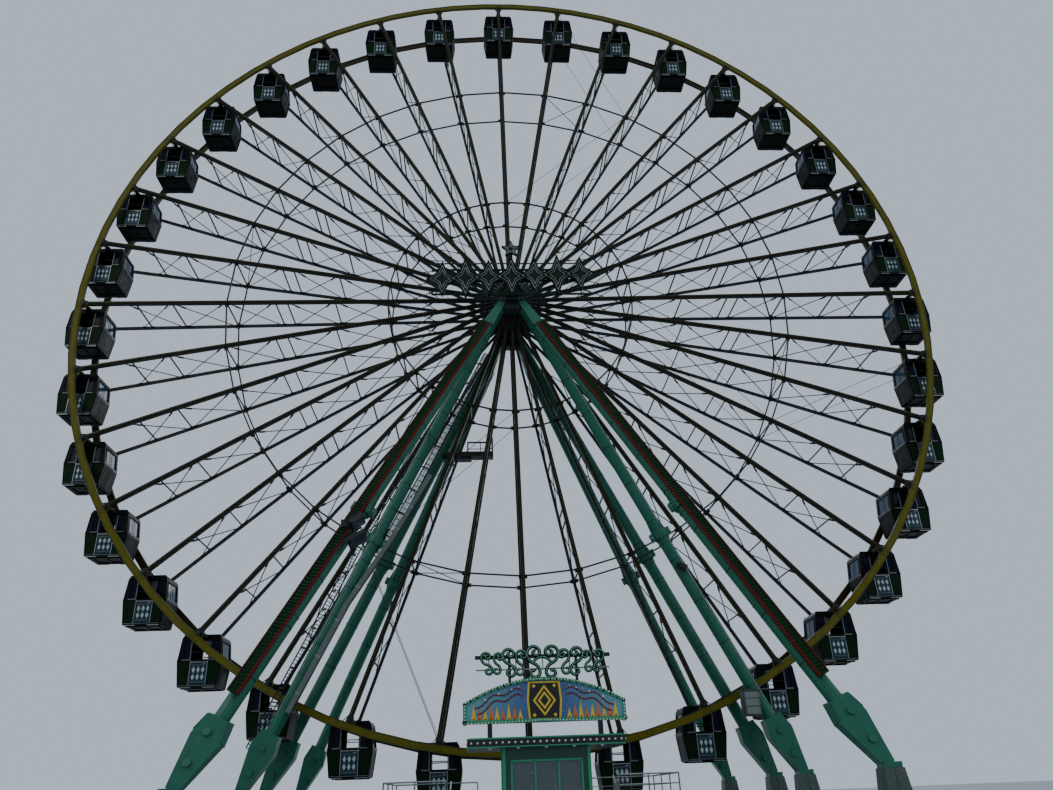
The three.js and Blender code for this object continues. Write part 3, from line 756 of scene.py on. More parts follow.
class FERRIS_OT_stage(Operator):
    """Floor, backdrop, soft lights and the camera"""
    bl_idname = "ferris.stage"
    bl_label = "Stage"

    def execute(self, context):
        stage = context.scene.ferris_stage
        bm = bmesh.new()
        bmesh.ops.create_grid(bm, x_segments=1, y_segments=1, size=180.0)
        mesh = bpy.data.meshes.new("studio_floor")
        bm.to_mesh(mesh)
        bm.free()
        mesh.materials.append(studio_floor("Matt studio floor paint", tuple(stage.floor)))
        floor = bpy.data.objects.new("studio_floor", mesh)
        context.scene.collection.objects.link(floor)

        world = bpy.data.worlds.new("Pale backdrop")
        world.use_nodes = True
        sky = world.node_tree.nodes["Background"]
        sky.inputs["Color"].default_value = opaque(stage.sky)
        sky.inputs["Strength"].default_value = stage.sky_strength
        context.scene.world = world

        lights = [
            ("key", (-24.0, -26.0, 26.0), 16.0, 1.0, (1.0, 0.97, 0.92)),
            ("fill", (28.0, -20.0, 14.0), 18.0, 0.45, (0.92, 0.96, 1.0)),
            ("back", (6.0, 30.0, 24.0), 20.0, 1.3, (0.95, 0.97, 1.0)),
        ]
        for name, spot, size, share, tint in lights:
            lamp = bpy.data.lights.new(name, "AREA")
            lamp.shape = "DISK"
            lamp.size = size
            lamp.energy = stage.key_power * share
            lamp.color = tint
            made = bpy.data.objects.new(name, lamp)
            made.matrix_world = aimed(Vector(spot), Vector(spot) - HUB * 0.7)
            context.scene.collection.objects.link(made)

        camera = bpy.data.cameras.new("camera")
        camera.sensor_fit = "HORIZONTAL"
        camera.sensor_width = 36.0
        camera.lens = stage.lens
        camera.clip_end = 600.0
        view = bpy.data.objects.new("camera", camera)
        yaw, pitch, roll = map(math.radians, GAZE)
        ahead = Vector((math.sin(yaw) * math.cos(pitch), math.cos(yaw) * math.cos(pitch), math.sin(pitch)))
        level = Vector((math.cos(yaw), -math.sin(yaw), 0.0))
        above = level.cross(ahead)
        right = math.cos(roll) * level + math.sin(roll) * above
        up = math.cos(roll) * above - math.sin(roll) * level
        turned = Matrix((right, up, -ahead)).transposed().to_4x4()
        view.matrix_world = Matrix.Translation(EYE) @ turned
        context.scene.collection.objects.link(view)
        context.scene.camera = view
        return {"FINISHED"}


class FERRIS_OT_frame_finish(Operator):
    """Finishes of the CAD nodes"""
    bl_idname = "ferris.frame_finish"
    bl_label = "Frame finishes"

    def execute(self, context):
        wanted = {
            "rim_front": "rim", "rim_rear": "rim_in_painted_shade", "spokes_": "spoke", "hub_drum": "hub",
            "shaft": "dark_steel", "frame_front": "leg", "frame_rear": "leg_back_shaded",
            "leg_front": "leg", "leg_rear": "leg_back_shaded", "light_panel": "panel",
            "service_platform": "dark_steel", "hub_sign": "sign", "base_": "base",
            "boarding_deck": "deck", "pay_booth": "booth", "arch_sign": "arch", "gondola_": "cabin",
        }
        for name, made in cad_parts.items():
            key = next(key for start, key in wanted.items() if name.startswith(start))
            for slot in made.material_slots:
                slot.material = finish_of(key)
        return {"FINISHED"}


class FERRIS_OT_hub_fittings(Operator):
    """Spoke shoes, bearing covers and bolts on the hub drum"""
    bl_idname = "ferris.hub_fittings"
    bl_label = "Hub fittings"

    def execute(self, context):
        shoe_y = HUB_FACE_Y + 0.012
        unit = bmesh.new()
        for face in (-1, 1):
            box(unit, (-0.034, face * HUB_FACE_Y, 0.44), (0.034, face * shoe_y, 0.74))
            for radius in (0.47, 0.53, 0.63, 0.70):
                stud(unit, Vector((0.0, face * shoe_y, radius)), face * 0.014 * Y, 0.014)
        shoes = round_wheel(template(unit))
        piece("hub_spoke_shoes", shoes, "wheel", finishes("hub", "zinc"))

        cover = lathe([
            (0.205, 0.0), (0.36, 0.0), (0.36, 0.03), (0.33, 0.045),
            (0.25, 0.05), (0.24, 0.11), (0.205, 0.11), (0.205, 0.0),
        ], 48)
        bm = bmesh.new()
        for face in (-1, 1):
            place = aimed(HUB + face * HUB_FACE_Y * Y, face * Y)
            stamp(bm, cover, place)
            for turn in around(18):
                stud(bm, place @ turn @ Vector((0.345, 0.0, 0.035)), face * 0.022 * Y, 0.013)
            for turn in around(9, 10):
                start, end = (place @ turn @ Vector((radius, 0, 0.02)) for radius in (0.25, 0.42))
                bar(bm, start, end, 0.012, 0.045, Y)
        piece("hub_bearing_covers", bm, "wheel", finishes("hub", "zinc"))

        bm = bmesh.new()
        for i in range(SPOKES):
            place = spoke_frame(i + 0.5)
            bar(bm, place @ Vector((0, -0.46, 0.402)), place @ Vector((0, 0.46, 0.402)), 0.016, 0.01, X)
        band = hoop(0.40, 0.416, -0.012, 0.012, 72)
        for y in (-0.3, -0.1, 0.1, 0.3):
            stamp(bm, band, aimed(HUB + y * Y, Y))
        piece("hub_drum_ribs", bm, "wheel", finishes("hub"))
        return {"FINISHED"}


class FERRIS_OT_spoke_lights(Operator):
    """Rows of lamp caps on gold strips along the front spokes"""
    bl_idname = "ferris.spoke_lights"
    bl_label = "Spoke lights"

    def execute(self, context):
        pitch = context.scene.ferris_sizes.cap_pitch
        first, last = 0.95, RIM_RADIUS - 0.24

        def face(radius, out):
            return Vector((0.0, -(spoke_y(radius) + FRONT_DEEP + out), radius))

        unit = bmesh.new()
        bar(unit, face(first, 0.006), face(last, 0.006), 0.052, 0.012)
        for offset in (-0.024, 0.024):
            shift = Vector((offset, 0, 0))
            bar(unit, face(first, 0.012) + shift, face(last, 0.012) + shift, 0.004, 0.014)
        for i in range(int((last - first) / pitch)):
            spot = face(first + (i + 0.5) * pitch, 0.012)
            rod(unit, spot, spot - 0.036 * Y, 0.016, 6, 0.009, slot=1)
        rows = round_wheel(template(unit))
        piece("spoke_lamp_strips", rows, "wheel", finishes("strip", "cap"))
        return {"FINISHED"}


class FERRIS_OT_spoke_lacing(Operator):
    """Posts, crossed rods and lugs between the front and rear spokes"""
    bl_idname = "ferris.spoke_lacing"
    bl_label = "Spoke lacing"

    def execute(self, context):
        thin = context.scene.ferris_sizes.rod_radius
        # Posts and the ends of the crossed bays, as shares of the rim's radius
        posts = (0.874, 0.792, 0.667, 0.555, 0.528, 0.416, 0.293)
        bays = ((0.893, 0.798), (0.786, 0.673), (0.661, 0.561), (0.522, 0.422), (0.410, 0.299), (0.287, 0.18))
        unit = bmesh.new()
        for share in posts:
            radius = share * RIM_RADIUS
            reach = spoke_y(radius) - 0.02
            bar(unit, (0, -reach, radius), (0, reach, radius), 0.03, 0.03)
            for face, deep in CHORD_DEPTHS:
                y = face * (spoke_y(radius) - deep)
                box(unit, (-0.034, y, radius - 0.045), (0.034, y - face * 0.02, radius + 0.045))
        for bay in bays:
            outer, inner = (share * RIM_RADIUS for share in bay)
            for sign, at_front, at_rear in ((-1, outer, inner), (1, inner, outer)):
                shift = Vector((sign * 0.011, 0, 0))
                a = Vector((0, -(spoke_y(at_front) - FRONT_DEEP), at_front))
                b = Vector((0, spoke_y(at_rear) - REAR_DEEP, at_rear))
                rod(unit, a + shift, b + shift, thin, 6, slot=1)
                along = (b - a).normalized()
                rod(unit, a + shift + along * 0.16, a + shift + along * 0.30, thin * 1.9, 6, slot=1)
                for end, inward in ((a, 1), (b, -1)):
                    box(
                        unit, (shift.x - 0.005, end.y, end.z - 0.03),
                        (shift.x + 0.005, end.y + inward * 0.05, end.z + 0.03),
                    )
        lacing = template(unit)
        for name, spokes in HALVES:
            bm = round_wheel(lacing, spokes)
            piece("spoke_lacing_" + name, bm, "wheel", finishes("spoke", "dark_steel"))
        return {"FINISHED"}


class FERRIS_OT_ring_bracing(Operator):
    """Gussets of the tie rings, crossed ties and long wires in four sectors"""
    bl_idname = "ferris.ring_bracing"
    bl_label = "Ring bracing"

    def execute(self, context):
        wire = context.scene.ferris_sizes.wire_radius
        unit = bmesh.new()
        for radius in (RING_OUTER, RING_INNER):
            for face, deep in CHORD_DEPTHS:
                y = face * (spoke_y(radius) - deep)
                inside = y - face * 0.008
                soften(unit, box(unit, (-0.1, y, radius - 0.05), (0.1, inside, radius + 0.05)), 0.0035, 1)
                for x in (-0.08, 0.08):
                    stud(unit, Vector((x, inside, radius)), -face * 0.01 * Y, 0.01)
        gussets = round_wheel(template(unit))
        piece("ring_gussets", gussets, "wheel", finishes("spoke", "zinc"))

        # First spoke of each braced sector; the second sector has the crossed ties alone
        bm = bmesh.new()
        for first in (34, 7, 16, 25):
            for a, b in ((first, first + 1), (first + 1, first)):
                rod(bm, on_spoke(a, RING_OUTER, -1), on_spoke(b, RING_OUTER, 1), 0.011, 6)
            for face in (-1, 1) if first != 7 else ():
                joint = on_spoke(first - 1, RING_OUTER, face)
                rod(bm, on_spoke(first + 2, RING_INNER, face), joint, wire, 6)
                rod(bm, joint, on_spoke(first + 1, RIM_RADIUS - 0.12, face), wire, 6)
        piece("sector_bracing", bm, "wheel", finishes("dark_steel"))
        return {"FINISHED"}


class FERRIS_OT_rim_fittings(Operator):
    """Edge angles, splice plates, bolts and pin caps of the rims"""
    bl_idname = "ferris.rim_fittings"
    bl_label = "Rim fittings"

    def execute(self, context):
        grow = 1.0 / math.cos(math.pi / RIM_FACETS)
        inner, outer = (RIM_RADIUS - RIM_HALF) * grow, (RIM_RADIUS + RIM_HALF) * grow
        turn = Matrix.Translation(HUB) @ Matrix.Rotation(-PHASE - math.pi / RIM_FACETS, 4, "Y")
        # Lays a lathe's axis from Z along Y
        upright = Matrix(((0, 1, 0, 0), (0, 0, 1, 0), (1, 0, 0, 0), (0, 0, 0, 1)))
        near, far = RIM_HALF_THICK, RIM_HALF_THICK + 0.010
        for face, name in ((-1, "front"), (1, "rear")):
            mid = face * RIM_Y
            bm = bmesh.new()
            for low, high in ((inner, inner + 0.018), (outer - 0.018, outer)):
                for y0, y1 in ((near, far), (-far, -near)):
                    stamp(bm, hoop(low, high, mid + y0, mid + y1, RIM_FACETS), turn @ upright)
            # The edge angles take the darker rim paint, as painted shade along the rims' edges
            piece("rim_edges_" + name, bm, "wheel", finishes("rim_edge"))

        unit = bmesh.new()
        for face in (-1, 1):
            for out in (1, -1):
                y = face * (RIM_Y + out * RIM_HALF_THICK)
                plate_y = y + face * out * 0.008
                box(unit, (-0.10, y, RIM_RADIUS - 0.062), (0.10, plate_y, RIM_RADIUS + 0.062))
                for x in (-0.075, -0.025, 0.025, 0.075):
                    for z in (-0.036, 0.036):
                        stud(unit, Vector((x, plate_y, RIM_RADIUS + z)), face * out * 0.011 * Y, 0.010)
            y = face * (spoke_y(PIVOT_RADIUS) + PAD_DEEP)
            cap, nut = y + face * 0.025, y + face * 0.035
            rod(unit, (0, y, PIVOT_RADIUS), (0, cap, PIVOT_RADIUS), 0.05, 12, 0.042, slot=1)
            rod(unit, (0, cap, PIVOT_RADIUS), (0, nut, PIVOT_RADIUS), 0.024, 6, slot=1)
            for x in (-1, 1):
                bar(
                    unit, (x * 0.13, face * (RIM_Y - 0.005), RIM_RADIUS - RIM_HALF + 0.01),
                    (x * 0.045, face * spoke_y(PIVOT_RADIUS), PIVOT_RADIUS - 0.11), 0.045, 0.012, Y,
                )
        tip = template(unit)
        for name, spokes in HALVES:
            bm = round_wheel(tip, spokes)
            piece("rim_splices_" + name, bm, "wheel", finishes("rim", "dark_steel"))
        return {"FINISHED"}


# The cabin, measured from its pivot: heights, and its half width at each of them
CABIN_TOP, CABIN_BELT, CABIN_FOOT = -0.06, -0.54, -1.086
HALF_TOP, HALF_BELT, HALF_FOOT = 0.425, 0.476, 0.403
# Slots of its fittings, in the order in which their finishes are given
SHELL, SIDE, DOOR, TRIM, ALLOY, STEEL, END, SEAT, FIGURE = range(9)


def cabin_half(z):
    """Half width of the cabin at a height."""
    if z > CABIN_BELT:
        return HALF_TOP + (HALF_BELT - HALF_TOP) * (CABIN_TOP - z) / (CABIN_TOP - CABIN_BELT)
    return HALF_BELT - (HALF_BELT - HALF_FOOT) * (CABIN_BELT - z) / (CABIN_BELT - CABIN_FOOT)


def cabin_front(bm, face):
    """Door, window frames and panels on one long side of a cabin."""
    y = face * CABIN_Y
    out = face * Y
    hinge_y = y + face * 0.012
    handle_y = y + face * 0.024
    door_edge, panel_top, panel_foot, margin = 0.205, -0.575, -1.03, 0.022

    def strip(x0, z0, x1, z1, wide, thick, slot):
        level = y + face * thick / 2
        bar(bm, (x0, level, z0), (x1, level, z1), wide, thick, Vector((z0 - z1, 0, x1 - x0)), slot)

    for side in (-1, 1):
        corners = [
            (door_edge, panel_top), (cabin_half(panel_top) - margin, panel_top),
            (cabin_half(panel_foot) - margin, panel_foot), (door_edge, panel_foot),
        ]
        verts = plate(bm, [Vector((side * x, y, z)) for x, z in corners], out * 0.008, SIDE)
        soften(bm, [v for v in verts if v.is_valid], 0.003, 1)
        strip(side * 0.204, -0.13, side * 0.204, -0.53, 0.018, 0.014, TRIM)
        strip(side * 0.195, -0.521, side * 0.37, -0.521, 0.02, 0.016, TRIM)
        strip(side * 0.349, -0.12, side * 0.349, -0.512, 0.014, 0.010, SHELL)
        strip(side * 0.186, -0.10, side * 0.186, -0.53, 0.014, 0.018, SHELL)
        strip(side * 0.182, -0.54, side * 0.182, -1.055, 0.012, 0.016, ALLOY)
        strip(side * (cabin_half(-0.06) - 0.012), -0.06, side * 0.464, -0.54, 0.02, 0.010, SHELL)
        strip(side * 0.464, -0.54, side * 0.391, -1.075, 0.02, 0.010, SHELL)
        strip(side * 0.2, -0.55, side * 0.455, -0.55, 0.02, 0.012, SHELL)
    strip(-0.392, -1.056, 0.392, -1.056, 0.009, 0.012, TRIM)
    strip(-0.415, -0.085, 0.415, -0.085, 0.05, 0.012, SHELL)
    strip(-0.178, -0.57, 0.178, -0.57, 0.014, 0.016, ALLOY)
    soften(bm, box(bm, (-0.172, y, -1.035), (0.172, y + face * 0.01, -0.585), DOOR), 0.004, 1)
    for i in range(6):
        centre = Vector((-0.1 + 0.1 * (i % 3), y + face * 0.010, -0.73 if i < 3 else -0.88))
        ring = [centre + Vector((dx, 0, dz)) for dx, dz in ((-0.036, 0), (0, 0.068), (0.036, 0), (0, -0.068))]
        plate(bm, ring, out * 0.004, FIGURE)
    for z in (-0.635, -0.985):
        strip(-0.15, z, 0.15, z, 0.008, 0.014, TRIM)
    rod(bm, (-0.18, y, -0.36), (0.18, y, -0.36), 0.010, 8, slot=STEEL)
    for side in (-1, 1):
        x = side * 0.192
        for z in (-0.62, -1.0):
            rod(bm, (x, hinge_y, z - 0.025), (x, hinge_y, z + 0.025), 0.009, 8, slot=STEEL)
        rod(bm, (side * 0.03, face * 0.56, -0.02), (side * 0.085, face * 0.385, -0.03), 0.010, 8, slot=STEEL)
        x = side * 0.085
        box(bm, (x - 0.03, y, -0.06), (x + 0.03, y + face * 0.014, -0.005), STEEL)
    rod(bm, (0.13, hinge_y, -0.61), (0.13, handle_y, -0.61), 0.012, 8, slot=ALLOY)
    bar(bm, (0.08, handle_y, -0.61), (0.14, handle_y, -0.61), 0.012, 0.008, Z, ALLOY)


def cabin_end(bm, side):
    """Window seal, belt trims and lower panel on one short side of a cabin."""
    outline = [Vector((HALF_TOP, 0, CABIN_TOP)), Vector((HALF_BELT, 0, CABIN_BELT)),
               Vector((HALF_FOOT, 0, CABIN_FOOT))]
    for top, low in zip(outline, outline[1:]):
        down = (low - top).normalized()
        normal = Vector((-down.z, 0, down.x))
        length = (low - top).length

        def spot(t, y, out):
            point = top + down * t + normal * out
            return Vector((side * point.x, y, point.z))

        def strip(t0, y0, t1, y1, wide, thick, slot):
            across = Vector((side * down.x, 0, down.z)) if t0 == t1 else Y
            bar(bm, spot(t0, y0, thick / 2), spot(t1, y1, thick / 2), wide, thick, across, slot)

        if top is outline[0]:
            for y in (-0.3, 0.3):
                strip(0.06, y, 0.46, y, 0.018, 0.009, SHELL)
            for t in (0.065, 0.452):
                strip(t, -0.3, t, 0.3, 0.016, 0.009, SHELL)
            strip(0.07, 0.0, 0.45, 0.0, 0.010, 0.008, SHELL)
            strip(0.463, -0.37, 0.463, 0.37, 0.012, 0.010, TRIM)
            continue
        strip(0.014, -0.37, 0.014, 0.37, 0.014, 0.010, TRIM)
        places = ((0.045, -0.335), (0.045, 0.335), (length - 0.05, 0.335), (length - 0.05, -0.335))
        plate(bm, [spot(t, y, 0) for t, y in places], Vector((side * normal.x, 0, normal.z)) * 0.006, END)
        for y in (-0.26, 0.26):
            strip(0.09, y, length - 0.1, y, 0.008, 0.010, END)
        for t in (0.09, length - 0.1):
            strip(t, -0.26, t, 0.26, 0.008, 0.010, END)
        for y in (-0.355, 0.355):
            strip(0.03, y, length - 0.01, y, 0.02, 0.010, SHELL)
        strip(length - 0.025, -0.345, length - 0.025, 0.345, 0.02, 0.010, SHELL)
        for k in range(5):
            t = 0.28 + 0.022 * k
            strip(t, -0.08, t, 0.08, 0.008, 0.009, SHELL)


def cabin_inside(bm):
    """Two benches and the turning table of a cabin, and the frame under its floor."""
    for side in (-1, 1):
        soften(bm, box(bm, (side * 0.15, -0.335, -0.78), (side * 0.37, 0.335, -0.74), SEAT), 0.012, 2)
        box(bm, (side * 0.2, -0.32, -1.046), (side * 0.36, 0.32, -0.78), SHELL)
        soften(bm, bar(bm, (side * 0.36, 0, -0.74), (side * 0.405, 0, -0.5), 0.64, 0.03, Y, SEAT), 0.01, 2)
    for low, high, radius, sides in (
        (-1.046, -0.66, 0.016, 10), (-0.665, -0.65, 0.12, 20), (-1.046, -1.03, 0.05, 12),
    ):
        rod(bm, (0, 0, low), (0, 0, high), radius, sides, slot=ALLOY)
    for y in (-0.24, 0.24):
        box(bm, (-0.36, y - 0.03, -1.114), (0.36, y + 0.03, -1.086), SHELL)
    for x in (-0.3, 0.0, 0.3):
        box(bm, (x - 0.025, -0.21, -1.106), (x + 0.025, 0.21, -1.086), SHELL)
    for face in (-1, 1):
        for x0, x1 in ((-0.38, -0.13), (0.13, 0.38)):
            box(bm, (x0, face * 0.352, -1.098), (x1, face * 0.374, -1.086), ALLOY)


def cabin_roof(bm):
    """Edge trims, stiffeners and axle collars on a cabin's roof."""
    for face in (-1, 1):
        y = face * 0.3755
        box(bm, (-0.39, y, 0.0), (0.39, y - face * 0.02, 0.012), SHELL)
    for x in (-0.3, -0.16, 0.16, 0.3):
        bar(bm, (x, -0.35, 0.005), (x, 0.35, 0.005), 0.02, 0.010, X, SHELL)
    for face in (-1, 1):
        for near, far, radius in ((0.376, 0.41, 0.062), (0.41, 0.425, 0.048)):
            rod(bm, (0, face * near, 0), (0, face * far, 0), radius, 14, slot=STEEL)


def cabin_glass():
    """Window panes of a cabin: four in its fronts and one in each end."""
    bm = bmesh.new()
    for face in (-1, 1):
        for side in (-1, 1):
            corners = [(0.2, -0.13), (0.34, -0.13), (0.34, -0.51), (0.2, -0.51)]
            plate(bm, [Vector((side * x, face * 0.36 - 0.002, z)) for x, z in corners], 0.004 * Y)
    for side in (-1, 1):
        bar(bm, (side * 0.452, 0, -0.51), (side * 0.415, 0, -0.13), 0.58, 0.004, Y, 1)
    return template(bm)


class FERRIS_OT_cabins(Operator):
    """Doors, frames, panels, benches and glass of the cabins"""
    bl_idname = "ferris.cabins"
    bl_label = "Cabins"

    def execute(self, context):
        bm = bmesh.new()
        for face in (-1, 1):
            cabin_front(bm, face)
        for side in (-1, 1):
            cabin_end(bm, side)
        cabin_inside(bm)
        cabin_roof(bm)
        looks = finishes(
            "cabin", "cabin_side", "door", "white", "alloy", "dark_steel", "cabin_end", "seat", "figure"
        )
        kinds = (
            ("fittings", template(bm), looks, "cabin_paint"),
            ("glass", cabin_glass(), finishes("window", "end_window"), None),
        )
        for k in range(SPOKES):
            pivot = Matrix.Translation(spoke_frame(k) @ Vector((0, 0, PIVOT_RADIUS)))
            label = "{:02d}".format(k + 1)
            for kind, pattern, looks, slot in kinds:
                name = "cabin_" + label + "_" + kind
                mesh = pattern.copy()
                mesh.name = name
                mesh.transform(pivot)
                place_piece(name, mesh, "gondola_" + label, looks)
        return {"FINISHED"}


class FERRIS_OT_leg_fittings(Operator):
    """Collars, gussets, bands, conduits and foot pins of the legs"""
    bl_idname = "ferris.leg_fittings"
    bl_label = "Leg fittings"

    def execute(self, context):
        unit = bmesh.new()
        for turn in around(12, 15):
            for low, high in ((0.085, 0.101), (-0.101, -0.085)):
                rod(unit, turn @ Vector((0.168, 0, low)), turn @ Vector((0.168, 0, high)), 0.013, 6, slot=1)
        for low, high in ((0.0405, 0.085), (-0.085, -0.0405)):
            stamp(unit, hoop(0.139, 0.187, low, high, 24), Matrix())
        cuff = lathe([(0.139, 0.19), (0.156, 0.195), (0.156, 0.225), (0.139, 0.23), (0.139, 0.19)], 24)
        stamp(unit, cuff, Matrix())
        for turn in around(6):
            for corners in (
                [(0.13, 0.084), (0.183, 0.084), (0.15, 0.18), (0.13, 0.18)],
                [(0.13, -0.084), (0.185, -0.084), (0.147, -0.36), (0.13, -0.36)],
            ):
                points = [turn @ Vector((x, -0.005, z)) for x, z in corners]
                plate(unit, points, turn.to_3x3() @ Vector((0, 0.01, 0)))
        for side in (-1, 1):
            ear = box(unit, (side * 0.16, -0.06, -0.095), (side * 0.255, 0.06, 0.095))
            soften(unit, ear, 0.012, 2)
            rod(unit, (side * 0.222, -0.08, 0), (side * 0.222, 0.08, 0), 0.024, 10, slot=1)
        collar = template(unit)
        for face, name, paint in ENDS:
            bm = bmesh.new()
            for leg, side in LEGS:
                stamp(bm, collar, aimed(leg(side, face, COLLAR_DROP), leg_axis(leg, side, face)))
            piece("leg_collars_" + name, bm, "stand", finishes(paint, "zinc"))

        strap = hoop(0.139, 0.1445, -0.007, 0.007, 24)
        bead = lathe([(0.138, -0.02), (0.147, -0.008), (0.147, 0.008), (0.138, 0.02), (0.138, -0.02)], 24)
        for face, name, paint in ENDS:
            bm = bmesh.new()
            for leg, side in LEGS:
                axis = leg_axis(leg, side, face)
                cabled = leg is inner_leg and side < 0 and face < 0
                count, pitch = (15, 0.6) if cabled else (10, 0.92)
                for i in range(count):
                    drop = 1.75 + pitch * i
                    if abs(drop - COLLAR_DROP) > 0.3:
                        stamp(bm, strap, aimed(leg(side, face, drop), axis), 1)
                for drop in (3.35, 8.9):
                    stamp(bm, bead, aimed(leg(side, face, drop), axis), 0)
            piece("leg_bands_" + name, bm, "stand", finishes(paint, "dark_steel"))

        for face, name, paint in ENDS:
            bm = bmesh.new()
            for leg, side in LEGS:
                axis = leg_axis(leg, side, face)
                place = aimed(leg(side, face, 0.0), axis)
                across, depth = place.col[0].to_3d(), place.col[1].to_3d()
                for drop, reach in ((10.95, 0.20), (11.4, 0.18)):
                    spot = leg(side, face, drop)
                    rod(bm, spot - depth * reach, spot + depth * reach, 0.042, 12, slot=1)
                    for sign in (-1, 1):
                        disc = spot + depth * sign * (reach - 0.012)
                        rod(bm, disc, disc + depth * sign * 0.014, 0.07, 12, slot=0)
                for sign in (-1, 1):
                    top = leg(side, face, 10.72) + across * sign * 0.2
                    foot = leg(side, face, 10.98) + across * sign * 0.262
                    bar(bm, top, foot, 0.012, 0.30, across, slot=0)
            piece("leg_foot_pins_" + name, bm, "stand", finishes(paint, "zinc"))

        bm = bmesh.new()
        for side, face in ((1, -1), (-1, -1), (1, 1)):
            axis = leg_axis(inner_leg, side, face)
            place = aimed(Vector((0, 0, 0)), axis)
            off = place.col[0].to_3d() * side * 0.068 + Y * face * 0.132
            points = [inner_leg(side, face, drop) + off for drop in (0.9, 10.4)]
            rod(bm, points[0], points[1], 0.008, 8)
            for i in range(11):
                spot = inner_leg(side, face, 1.2 + 0.9 * i) + off
                box(bm, spot - Vector((0.014, 0.014, 0.010)), spot + Vector((0.014, 0.014, 0.010)), 1)
        piece("leg_conduits", bm, "stand", finishes("alloy", "zinc"))
        return {"FINISHED"}


class FERRIS_OT_heads(Operator):
    """Covers, bearing caps and lifting eyes on the head blocks"""
    bl_idname = "ferris.heads"
    bl_label = "Head covers"

    def execute(self, context):
        outline = [(-0.155, 0.068), (-0.353, -0.056), (-0.353, -0.565), (-0.234, -0.628),
                   (0.234, -0.628), (0.353, -0.565), (0.353, -0.056), (0.155, 0.068)]
        cap = lathe([
            (0.0, 0.075), (0.10, 0.072), (0.17, 0.05), (0.20, 0.02), (0.235, 0.015), (0.235, 0.0), (0.0, 0.0),
        ], 40)
        ring = lathe([(0.19, 0.0), (0.28, 0.0), (0.28, 0.03), (0.25, 0.05), (0.19, 0.05), (0.19, 0.0)], 40)
        screws = [(x, z) for x in (-0.3, 0.3) for z in (-0.1, -0.3, -0.5)] + [(-0.15, -0.58), (0.15, -0.58)]
        for face, name in ((-1, "front"), (1, "rear")):
            bm = bmesh.new()
            y = face * 0.822
            verts = plate(bm, [HUB + Vector((x, y, z)) for x, z in outline], face * 0.306 * Y)
            soften(bm, verts, 0.01, 2)
            front = face * 1.128
            stamp(bm, cap, aimed(HUB + Y * front, Y * face), 0)
            for i in range(12):
                turn = Matrix.Rotation(math.radians(30 * i), 3, "Y")
                spot = HUB + turn @ Vector((0.218, 0, 0)) + Y * (front + face * 0.012)
                stud(bm, spot, Y * face * 0.014, 0.011)
            stamp(bm, ring, aimed(HUB + Y * y, Y * -face), 0)
            for x, z in screws:
                stud(bm, HUB + Vector((x, front, z)), Y * face * 0.012, 0.012)
            for x in (-0.1, 0.1):
                spot = HUB + Vector((x, face * 0.975, 0.06))
                bar(bm, spot, spot + 0.08 * Z, 0.016, 0.07, X, 0)
            for side in (-1, 1):
                low = Vector((side * 0.353, face * 0.975, -0.5))
                bar(bm, HUB + low, HUB + low + 0.4 * Z, 0.012, 0.2, X, 0)
            piece("head_cover_" + name, bm, "stand", finishes("head", "zinc"))
        return {"FINISHED"}


def panel_frame(side):
    """Directions of a light panel: along the leg, out of its face and outward across it."""
    along = (outer_leg(side, -1, 1.0) - outer_leg(side, -1, 0.0)).normalized()
    normal = (-Y + along * along.dot(Y)).normalized()
    outward = normal.cross(along).normalized()
    if outward.x * side < 0:
        outward = -outward
    return along, normal, outward


class FERRIS_OT_light_panels(Operator):
    """Bulbs, red edges and rear ribs of the light panels"""
    bl_idname = "ferris.light_panels"
    bl_label = "Light panels"

    def execute(self, context):
        pitch = context.scene.ferris_sizes.bulb_pitch
        sheet, edge, green, red, dark = range(5)
        for side, name in ((-1, "left"), (1, "right")):
            along, normal, outward = panel_frame(side)

            def spot(drop, across, out):
                return outer_leg(side, -1, drop) + normal * (0.2003 + 0.05 + out) + outward * (0.025 + across)

            top, end = 0.125 * RIM_RADIUS, 0.925 * RIM_RADIUS
            bm = bmesh.new()
            for across, wide, slot in ((-0.085, 0.05, edge), (0.096, 0.026, dark)):
                bar(bm, spot(top, across, 0.008), spot(end, across, 0.008), wide, 0.018, outward, slot)
            bar(bm, spot(top, 0.112, -0.02), spot(end, 0.112, -0.02), 0.005, 0.06, outward, sheet)
            for across in (-0.07, 0.07):
                start, stop = spot(top + 0.1, across, -0.07), spot(end - 0.1, across, -0.07)
                bar(bm, start, stop, 0.03, 0.04, outward, sheet)
            for i in range(10):
                drop = top + 0.12 + i * (end - top - 0.24) / 9
                bar(bm, spot(drop, -0.11, 0.004), spot(drop, 0.11, 0.004), 0.014, 0.008, along, sheet)
                bar(bm, spot(drop, -0.105, -0.062), spot(drop, 0.105, -0.062), 0.04, 0.024, along, sheet)
            length = (spot(end, 0, 0) - spot(top, 0, 0)).length
            count = int(length / pitch)
            for i in range(count):
                drop = top + (i + 0.5) * (end - top) / count
                for across in (-0.085, 0.096):
                    foot = spot(drop, across, 0.017)
                    rod(bm, foot, foot + normal * 0.022, 0.012, 6, 0.008, slot=red)
                for across in (-0.045, -0.017, 0.011, 0.039, 0.067):
                    bulb(bm, spot(drop + 0.018 * (across > 0), across, 0.010), 0.010, green)
            looks = finishes("panel", "stripe", "green_bulb", "red_bulb", "dark_red")
            piece("panel_lights_" + name, bm, "stand", looks)
        return {"FINISHED"}


